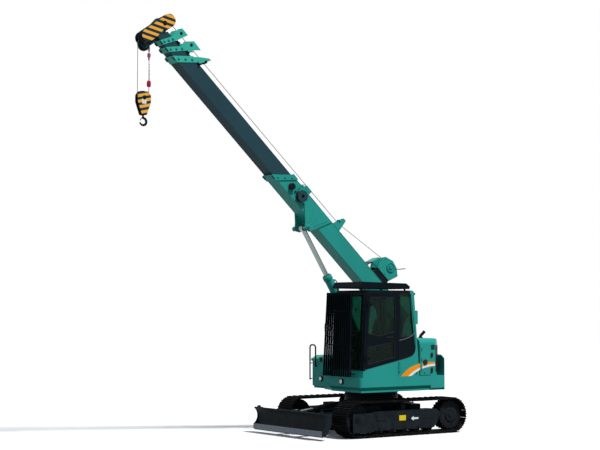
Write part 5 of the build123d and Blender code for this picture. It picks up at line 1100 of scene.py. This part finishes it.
build("reelCable", outwards(windings, middleY, *reel["place"]), "rubber", "boom")
wheelFace = lathe([(0.0, 0.0), (0.050, 0.0), (0.058, 0.004), (0.058, 0.0065), (0.020, 0.010), (0.018, 0.018),
                   (0.0, 0.018)], 40)
build("cableWheelFace", outwards(wheelFace, 0.150 + 0.0598, *reel["small"]), "running_gear", "boom")
eyeTurn = np.linspace(0, 2 * np.pi, 25)[:-1]
ring = np.stack([0.026 * np.cos(eyeTurn), 0.026 * np.sin(eyeTurn), 0 * eyeTurn], -1)
build("cableEye", outwards(pipe(ring, 0.005, 8, closed=True), 0.030, 4.185, 2.345), "teal_paint", "boom")
boxSide = [(4.234, 2.182), (4.202, 2.323), (4.048, 2.320), (4.068, 2.180)]
boxTop = [(4.222, 2.2365), (4.202, 2.323), (4.048, 2.320), (4.060, 2.2365)]
build("guideBox", merged(onBoom(prism(boxSide, 0.008, 0.002), 0.1546),
                         onBoom(prism(boxTop, 0.094, 0.003), 0.1040)), "teal_paint", "boom")
boxFace = merged(prism(rounded(0.150, 0.060, 0.006), 0.004, 0.0015),
                 spread(hexNut(0.012, 0.006),
                        [(x, y, 0.004) for x in (-0.062, 0.062) for y in (-0.020, 0.020)]))
build("guideBoxCover", outwards(boxFace, 0.1605, 4.138, 2.282), "teal_paint", "boom")

# the rope arm's roller and the rounded cap over its plates
armRoller = lathe([(0.010, -0.0185), (0.036, -0.0185), (0.036, -0.012), (0.0302, -0.006), (0.0302, 0.006),
                   (0.036, 0.012), (0.036, 0.0185), (0.010, 0.0185), (0.010, -0.0185)], 32)
armCaps = [outwards(placed(hexNut(0.026, 0.012), (0, 0, 0.006)), 0.029, 3.165, 2.436, sign)
           for sign in (-1, 1)]
build("armRoller", merged(onBoom(armRoller, 0, 3.165, 2.436), *armCaps), "running_gear", "boom")

# lift cylinder: gland, ports with their pipes, weld rings
lift = {"foot": joints["lift_tilt"]["pos_m"], "axis": joints["lift_slide"]["axis"], "gland": 2.320}
liftFoot, liftAxis = np.array(lift["foot"]), np.array(lift["axis"])
liftX = np.cross(upright, liftAxis)


def onLift(shape, distance, turned=0.0):
    # local z along the lift cylinder, turned about it
    c, s = math.cos(turned), math.sin(turned)
    side, other = c * liftX + s * np.array(upright), -s * liftX + c * np.array(upright)
    return placed(shape, liftFoot + distance * liftAxis, side, other, liftAxis)


gland = lathe([(0.0465, -0.075), (0.088, -0.075), (0.090, -0.070), (0.090, -0.006), (0.084, 0.0),
               (0.084, 0.010), (0.060, 0.014), (0.056, 0.026), (0.0465, 0.026), (0.0465, -0.075)], 44)
scraper = lathe([(0.0455, 0.024), (0.054, 0.024), (0.054, 0.034), (0.0455, 0.036), (0.0455, 0.024)], 36)
weldRing = lathe([(0.078, -0.010), (0.084, -0.008), (0.086, 0.0), (0.084, 0.008), (0.078, 0.010),
                  (0.078, -0.010)], 40)
port = merged(box(0.034, 0.046, 0.050, 0.005), onFront(hexNut(0.026, 0.018), (0.022, 0, 0)))
ports = [onLift(placed(port, (0.092, 0, 0)), distance, math.pi) for distance in (2.16, 0.24)]
build("liftGland", merged(onLift(gland, lift["gland"] - 0.012),
                          onLift(boltRing(0.070, 8, 0.014, 0.012), lift["gland"]), onLift(weldRing, 0.108),
                          *ports), "teal_paint", "lift_cylinder")
build("liftScraper", onLift(scraper, lift["gland"] - 0.012), "rubber", "lift_cylinder")
line = [(0.128, 2.16), (0.142, 2.10), (0.112, 2.02), (0.098, 1.90), (0.098, 1.20), (0.098, 0.62),
        (0.110, 0.50)]
linePath = smoothPath([(x, 0.0, z) for x, z in line])
clip = lathe([(0.0795, -0.010), (0.0835, -0.010), (0.0835, 0.010), (0.0795, 0.010), (0.0795, -0.010)], 36)
build("liftPipe", onLift(pipe(linePath, 0.009, 10, upright), 0.0, math.pi), "teal_paint", "lift_cylinder")
build("liftClips", merged(onLift(clip, 0.70), onLift(clip, 1.30), onLift(clip, 1.88)), "machined_steel",
      "lift_cylinder")

for body, name, front, lean, low, high, length, half in rows:
    pads = [outwards(box(0.070, 0.034, 0.030, 0.004), half - 0.020, front - 0.050, low - 0.013, sign)
            for sign in (-1, 1)]
    build("lowPads" + name, merged(*pads), "slate_paint", body)
print("boom made")

# winch

winch = {"place": (1.750, 2.605), "coil": 0.0805, "rope": 0.006, "turns": 13}
plateFace = boomSpan("winch_frame")[1][1]
hub = merged(lathe([(0.0, -0.002), (0.100, -0.002), (0.100, 0.010), (0.088, 0.016), (0.072, 0.016),
                    (0.068, 0.008), (0.046, 0.008), (0.042, 0.024), (0.020, 0.028), (0.0, 0.028)], 48),
             boltRing(0.085, 12, 0.016, 0.028), boltRing(0.030, 6, 0.010, 0.036))
motor = merged(lathe([(0.0, -0.002), (0.085, -0.002), (0.085, 0.014), (0.066, 0.018), (0.066, 0.110),
                      (0.060, 0.118), (0.040, 0.118), (0.040, 0.150), (0.0, 0.152)], 40),
               boltRing(0.075, 8, 0.016, 0.028))
build("winchHub", outwards(hub, plateFace + 0.002, *winch["place"]), "teal_paint", "boom")
build("winchMotor", outwards(motor, plateFace + 0.002, *winch["place"], -1), "running_gear", "boom")
bolts = []
for x, y in ((-0.205, -0.020), (-0.115, 0.070), (0.040, 0.102), (0.195, 0.045), (0.265, -0.055),
             (-0.135, -0.185), (0.185, -0.185), (0.02, -0.185)):
    bolts += [outwards(placed(hexNut(0.020, 0.011), (0, 0, 0.0055)), plateFace, winch["place"][0] + x,
                       winch["place"][1] + y, sign) for sign in (-1, 1)]
build("winchBolts", merged(*bolts), "teal_paint", "boom")
ties = [onBoom(lathe([(0.0, -0.1045), (0.014, -0.1045), (0.014, 0.1045), (0.0, 0.1045)], 20), 0,
               winch["place"][0] + x, winch["place"][1] + y) for x, y in ((-0.185, -0.04), (0.150, 0.085))]
build("winchTies", merged(*ties), "running_gear", "boom")
turns = winch["turns"]
turn = np.linspace(0, 2 * np.pi * turns, turns * 24 + 1)
coil = np.stack([np.cos(turn) * winch["coil"], np.sin(turn) * winch["coil"],
                 np.linspace(-0.083, 0.083, len(turn))], -1)
coilPipe = pipe(coil, winch["rope"], 8, (0, 0, 1))


def lengthwise(piece, length, sides):
    # uv for a rope: across is the share round it, up is the share of its length in metres
    layer = piece.data.uv_layers.new(name="ropeLay")
    corners = np.empty(len(piece.data.loops), int)
    piece.data.loops.foreach_get("vertex_index", corners)
    rings = len(piece.data.vertices) // sides
    uv = np.stack([(corners % sides) / sides, (corners // sides) / max(rings - 1, 1) * length], -1)
    layer.data.foreach_set("uv", uv.astype(np.float32).ravel())


drumRope = build("drumRope", onBoom(coilPipe, 0, *winch["place"]), "rope", "drum")
lengthwise(drumRope, turns * 2 * math.pi * winch["coil"], 8)
strut = pipe([(-0.60, boomY - 0.05, 3.06), (-0.70, boomY + 0.02, 3.06), (-0.86, boomY + 0.14, 3.075)], 0.008,
             10, (0, 0, 1))
build("winchLever", strut, "running_gear", "boom")
print("winch made")

# hoist rope: drum, arm roller, over the collars' pins, head sheaves, falls

rope = {"radius": 0.006, "sides": 8, "rise": boom["ropeLine"], "head": (8.200, 2.262), "low": (8.200, 1.705),
        "groove": 0.1103}


def onRope(path):
    # a path of places along and across the boom, in its middle plane
    return np.array([run * along + rise * across + [0, boomY, 0] for run, rise in path])


def ropeRun(name, points, body, nextBody=None):
    shape = pipe(points, rope["radius"], rope["sides"], upright)
    piece = build(name, shape, "rope", None if nextBody else body)
    length = float(np.linalg.norm(np.diff(points, axis=0), axis=1).sum())
    lengthwise(piece, length, rope["sides"])
    if nextBody:
        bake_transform(piece)
    return piece


def arcPath(centre, radius, first, last, steps):
    turn = np.radians(np.linspace(first, last, steps))
    return [(centre[0] + radius * math.cos(t), centre[1] + radius * math.sin(t)) for t in turn]


armRun = arcPath((3.165, 2.436), 0.0365, 259.0, 272.0, 4)
ropeRun("ropeFromDrum", onRope(arcPath(winch["place"], 0.0865, 96.0, 79.0, 5) + armRun), "boom")
stops = [(3.166, 2.3995), (7.205, rope["rise"]), (7.603, rope["rise"]), (7.873, rope["rise"]),
         (8.195, 2.3723)]
bodiesAlong = ["boom", "section_2", "section_3", "section_4", "section_5"]
for index in range(4):
    first, last = np.array(stops[index]), np.array(stops[index + 1])
    points = [first + (last - first) * share for share in np.linspace(0, 1, 9)]
    ropeRun("ropeRun" + str(index + 2), onRope(points), bodiesAlong[index], bodiesAlong[index + 1])
headPath = arcPath(rope["head"], rope["groove"], 92.0, 0.0,
                   14) + arcPath(rope["low"], rope["groove"], 0.0, -86.0, 14)
ropeRun("ropeOverHead", onRope(headPath), "section_5")
headAxis, blockZ = np.array(joints["falls_plumb"]["pos_m"]), ends("rope_falls")[0][2]
reach = rope["groove"]
falls = []
for index, way in enumerate((1, -1)):
    top, foot = headAxis + [way * reach, 0, 0], np.array([headAxis[0] + way * reach, boomY, blockZ])
    falls.append(pipe([top + (foot - top) * share for share in np.linspace(0, 1, 13)], rope["radius"],
                      rope["sides"], upright))
fallRope = build("ropeFalls", merged(*falls), "rope", None, replaced=["rope_falls"])
lengthwise(fallRope, 2 * (headAxis[2] - blockZ), rope["sides"])
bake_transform(fallRope)
turn = np.radians(np.linspace(180, 360, 17))
bight = np.stack([headAxis[0] + reach * np.cos(turn), 0 * turn + boomY, blockZ + reach * np.sin(turn)], -1)
ropeRun("ropeBight", bight, "block")
socket = lathe([(0.0, 0.075), (0.011, 0.070), (0.016, 0.020), (0.016, -0.030), (0.010, -0.050),
                (0.0065, -0.050)], 20)
build("ropeSocket", placed(socket, headAxis + [-reach, 0, -0.075]), "machined_steel", "falls")
weightLow, weightHigh = ends("limit_weight")
weightX, weightY = (weightLow[0] + weightHigh[0]) / 2, (weightLow[1] + weightHigh[1]) / 2
span = weightHigh[2] - weightLow[2]
bob = lathe([(0.0066, 0.0), (0.026, 0.0), (0.034, 0.010), (0.036, 0.030), (0.036, span - 0.030),
             (0.030, span - 0.012), (0.016, span), (0.0066, span), (0.0066, 0.0)], 36)
build("limitWeight", placed(bob, (weightX, weightY, weightLow[2])), "red_paint", "falls",
      replaced=["limit_weight"])
lineTop = np.array([weightX - 0.010, boomY - 0.02, headAxis[2] - 0.22])
lineFoot = np.array([weightX - 0.012, boomY, weightHigh[2] - 0.003])
lineShape = pipe([lineTop + (lineFoot - lineTop) * share for share in np.linspace(0, 1, 24)], 0.0035, 6,
                 upright)
build("limitLine", lineShape, "machined_steel", "falls")
beads = [placed(lathe([(0.0, -0.014), (0.009, -0.010), (0.009, 0.010), (0.0, 0.014)], 12),
                lineTop + (lineFoot - lineTop) * share) for share in (0.30, 0.42, 0.56, 0.72)]
build("limitBeads", merged(*beads), "red_paint", "falls")
switch = merged(box(0.044, 0.036, 0.075, 0.008),
                placed(lathe([(0.0, -0.055), (0.012, -0.055), (0.016, -0.030), (0.016, 0.0), (0.0, 0.0)], 20),
                       (0, 0, -0.030)))
build("limitSwitch", placed(switch, lineTop + [0, 0, 0.045]), "red_paint", "falls")
print("ropes made")

# head and hook

head = {"low": (8.285, 1.775), "high": (8.165, 2.375), "radius": 0.115, "depth": 0.040,
        "notch": (8.1303, 1.9697, 2.1803), "face": 0.0695, "rim": 0.003}


def slotOutline(low, high, radius, steps=18):
    # the two half circles of a slot, each anticlockwise; straight sides join them
    low, high = np.array(low), np.array(high)
    lean = math.degrees(math.atan2(*(high - low)[::-1]))
    lower = arcPath(low, radius, lean - 270, lean - 90, steps)
    upper = arcPath(high, radius, lean - 90, lean + 90, steps)
    return lower, upper


lower, upper = slotOutline(head["low"], head["high"], head["radius"])
slotLean = (head["low"][0] - head["high"][0]) / (head["high"][1] - head["low"][1])
leftX = upper[-1][0] + (upper[-1][1] - head["notch"][2]) * slotLean
notched = upper + [(leftX, head["notch"][2]), (head["notch"][0], head["notch"][2]),
                   (head["notch"][0], head["notch"][1])] + lower
plate = prism(notched, head["depth"], 0.004)
middleFace = head["face"] - head["depth"] / 2
build("headGuards", merged(onBoom(plate, middleFace), onBoom(plate, -middleFace)), "black_paint", "section_5",
      replaced=["head_guards"])
lowShort = (head["low"][0] - slotLean * 0.075, head["low"][1] + 0.075)
shortLow, shortHigh = slotOutline(lowShort, head["high"], head["radius"] - head["rim"])
leftX += head["rim"]
face = shortHigh + [(leftX, head["notch"][2] + head["rim"]),
                    (head["notch"][0] + head["rim"], head["notch"][2] + head["rim"]),
                    (head["notch"][0] + head["rim"], head["notch"][1] - head["rim"])] + shortLow
striped = prism(face, 0.004, 0.0012)
build("headStripes", merged(onBoom(striped, head["face"] + 0.001), onBoom(striped, -head["face"] - 0.001)),
      "head_stripes", "section_5")
sheaveRim = [(0.024, -0.0165), (0.040, -0.0165), (0.042, -0.009), (0.086, -0.006), (0.094, -0.0165),
             (0.1155, -0.0165), (0.1155, -0.0125), (0.1042, -0.0045), (0.1035, 0.0), (0.1042, 0.0045),
             (0.1155, 0.0125), (0.1155, 0.0165), (0.094, 0.0165), (0.086, 0.006), (0.042, 0.009),
             (0.040, 0.0165), (0.024, 0.0165), (0.024, -0.0165)]
sheave = lathe(sheaveRim, 56)
build("headSheaves", merged(onBoom(sheave, 0, *rope["head"]), onBoom(sheave, 0, *rope["low"])),
      "running_gear", "section_5", replaced=["head_sheaves"])
axleCap = merged(lathe([(0.0, -0.002), (0.040, -0.002), (0.040, 0.008), (0.032, 0.014), (0.0, 0.014)], 32),
                 boltRing(0.024, 3, 0.012, 0.022))
axles = [outwards(axleCap, head["face"] + 0.003, *spot, sign) for spot in (rope["head"], rope["low"])
         for sign in (-1, 1)]
keepers = [onBoom(lathe([(0.0, -0.0290), (0.008, -0.0290), (0.008, 0.0290), (0.0, 0.0290)], 14), 0, *spot)
           for spot in ((8.330, 2.240), (8.335, 1.760), (8.215, 2.395))]
build("headAxles", merged(*axles, *keepers), "running_gear", "section_5")

block = {"face": 0.050, "plate": 0.028}
outline = [(0.085, 0.105), (0.130, 0.035), (0.130, -0.080), (0.050, -0.305), (-0.050, -0.305),
           (-0.130, -0.080), (-0.130, 0.035), (-0.085, 0.105)]
cheek = prism(softened(outline, 0.018), block["plate"], 0.005)
middleFace = block["face"] - block["plate"] / 2
core = [onSide(cheek, boomY + sign * middleFace, headAxis[0], blockZ) for sign in (-1, 1)]
ring = lathe([(0.0186, -0.060), (0.036, -0.060), (0.040, -0.052), (0.040, 0.052), (0.036, 0.060),
              (0.0186, 0.060), (0.0186, -0.060)], 32)
core.append(placed(ring, (headAxis[0], boomY, blockZ - 0.240)))
build("blockCheeks", merged(*core), "black_paint", "block", replaced=["hook_block"])
shorter = prism(inset(softened(outline, 0.018)[::-1], 0.004), 0.003, 0.001)
build("blockStripes", merged(*[onSide(shorter, boomY + sign * (block["face"] + 0.001), headAxis[0], blockZ)
                               for sign in (-1, 1)]), "block_stripes", "block")
blank = prism(rounded(0.085, 0.085, 0.006), 0.002, 0.0006)
build("blockPlates",
      merged(*[onSide(blank, boomY + sign * (block["face"] + 0.0032), headAxis[0] + 0.005, blockZ - 0.070)
               for sign in (-1, 1)]), "white_plate", "block")
nut = merged(lathe([(0.0, -0.002), (0.034, -0.002), (0.034, 0.008), (0.0, 0.010)], 28),
             placed(hexNut(0.036, 0.018), (0, 0, 0.016)))
nuts = [placed(nut, (headAxis[0], boomY + sign * (block["face"] + 0.002), blockZ), (1, 0, 0), (0, 0, -sign),
               (0, sign, 0)) for sign in (-1, 1)]
build("blockSheave", placed(sheave, (headAxis[0], boomY, blockZ), (1, 0, 0), (0, 0, 1), (0, -1, 0)),
      "running_gear", "block", replaced=["block_sheave"])
build("blockNuts", merged(*nuts), "running_gear", "block")

# the hook: a round section that swells in the bowl and thins to the tip, pressed a little flat
hookHigh = ends("hook")[1]
hookCentre = np.array([headAxis[0], boomY, joints["hook_swivel"]["pos_m"][2] - 0.060])
turn = np.radians(np.linspace(92, 348, 44))
share = np.linspace(0, 1, 44)
middleRadius = 0.0625 - 0.0015 * share
bowl = np.stack([middleRadius * np.cos(turn) - 0.003 * np.sin(np.pi * share), 0 * turn,
                 middleRadius * np.sin(turn)], -1)
shank = np.stack([0 * share[:16], 0 * share[:16],
                  np.linspace(hookHigh[2] - hookCentre[2] - 0.001, 0.066, 16)], -1)
radii = np.concatenate([np.full(13, 0.0172), np.array([0.0178, 0.0182, 0.0184]),
                        0.0205 + 0.0016 * np.sin(np.pi * share) - 0.0100 * share**4])
swept = pipe(np.concatenate([shank, bowl]), radii, 20, upright)
swept = (swept[0] * [1, 0.84, 1], swept[1])
collarNut = placed(lathe([(0.0176, -0.012), (0.026, -0.012), (0.028, -0.008), (0.028, 0.008), (0.026, 0.012),
                          (0.0176, 0.012), (0.0176, -0.012)], 28), (0, 0, 0.118))
build("craneHook", placed(merged(swept, collarNut), hookCentre), "black_paint", "hook", replaced=["hook"])
latchPath = smoothPath([(0.017, 0, 0.066), (0.034, 0, 0.050), (0.048, 0, 0.030), (0.056, 0, 0.012)], 6)
latchPlate = pipe(latchPath, np.linspace(0.0085, 0.0055, len(latchPath)), 10, upright)
build("hookLatch", placed(latchPlate, hookCentre), "running_gear", "hook")
print("head and hook made")

# the winch's base is dark below its side plates
base = Paint("winchPaint", Coat_Weight=0.02, Coat_Roughness=0.12, Specular_IOR_Level=0.05)
coords, x, y, z = base.place()
rise = z * slope[0] - x * slope[1]
scuffs = base.scuffs(coords)
teal = base.mix(scuffs * 0.35, paintWork["teal"], paintWork["tealWorn"])
base.bump(base.noise(coords, 240.0), 0.09, 0.002)
cadNodes["winch_frame"].data.materials[0] = base.finish(base.mix(rise > 2.386, paintWork["black"], teal),
                                                        scuffs * 0.2 + 0.34)
print("winch painted")

# stage

stage = {"floor": 60.0, "key": 3.4, "keyTurn": (33.0, 0.0, 196.0), "keySoft": 9.0, "sky": 0.34, "fill": 0.22,
         "fillTurn": (72.0, 0.0, 95.0)}


def paleWhenSeen(tree, plain, shown, target):
    # eyes, gloss and glass meet the shown shader, and every other ray the plain one
    path = tree.nodes.new("ShaderNodeLightPath")
    seen = path.outputs["Is Camera Ray"]
    for kind in ("Is Glossy Ray", "Is Transmission Ray"):
        either = tree.nodes.new("ShaderNodeMath")
        either.operation = "MAXIMUM"
        tree.links.new(seen, either.inputs[0])
        tree.links.new(path.outputs[kind], either.inputs[1])
        seen = either.outputs[0]
    choose = tree.nodes.new("ShaderNodeMixShader")
    tree.links.new(seen, choose.inputs[0])
    tree.links.new(plain, choose.inputs[1])
    tree.links.new(shown, choose.inputs[2])
    tree.links.new(choose.outputs[0], target)


def floorShader(tree, shade):
    made = tree.nodes.new("ShaderNodeBsdfDiffuse")
    made.inputs["Color"].default_value = (shade, shade, shade, 1)
    return made.outputs[0]


floorPaint = bpy.data.materials.new("palefloor")
floorPaint.use_nodes = True
floorTree = floorPaint.node_tree
floorTree.nodes.remove(floorTree.nodes["Principled BSDF"])
paleWhenSeen(floorTree, floorShader(floorTree, 0.22), floorShader(floorTree, 0.97),
             floorTree.nodes["Material Output"].inputs["Surface"])
bpy.ops.mesh.primitive_plane_add(size=stage["floor"], location=(0, 0, 0))
floor = bpy.context.object
floor.name = "floor"
floor.data.materials.append(floorPaint)

world = bpy.data.worlds.new("studio")
bpy.context.scene.world = world
world.use_nodes = True
sky = world.node_tree.nodes["Background"]
sky.inputs["Color"].default_value = (0.84, 0.90, 1.0, 1)
sky.inputs["Strength"].default_value = stage["sky"]
backdrop = world.node_tree.nodes.new("ShaderNodeBackground")
backdrop.inputs["Color"].default_value = (1, 1, 1, 1)
backdrop.inputs["Strength"].default_value = 1.0
paleWhenSeen(world.node_tree, sky.outputs[0], backdrop.outputs[0],
             world.node_tree.nodes["World Output"].inputs["Surface"])
for name, power, turn, softness in (("key", stage["key"], stage["keyTurn"], stage["keySoft"]),
                                    ("fill", stage["fill"], stage["fillTurn"], 40.0)):
    lamp = bpy.data.lights.new(name, "SUN")
    lamp.energy = power
    lamp.angle = math.radians(softness)
    lampObject = bpy.data.objects.new(name, lamp)
    lampObject.rotation_euler = [math.radians(angle) for angle in turn]
    bpy.context.scene.collection.objects.link(lampObject)

print("stage set")
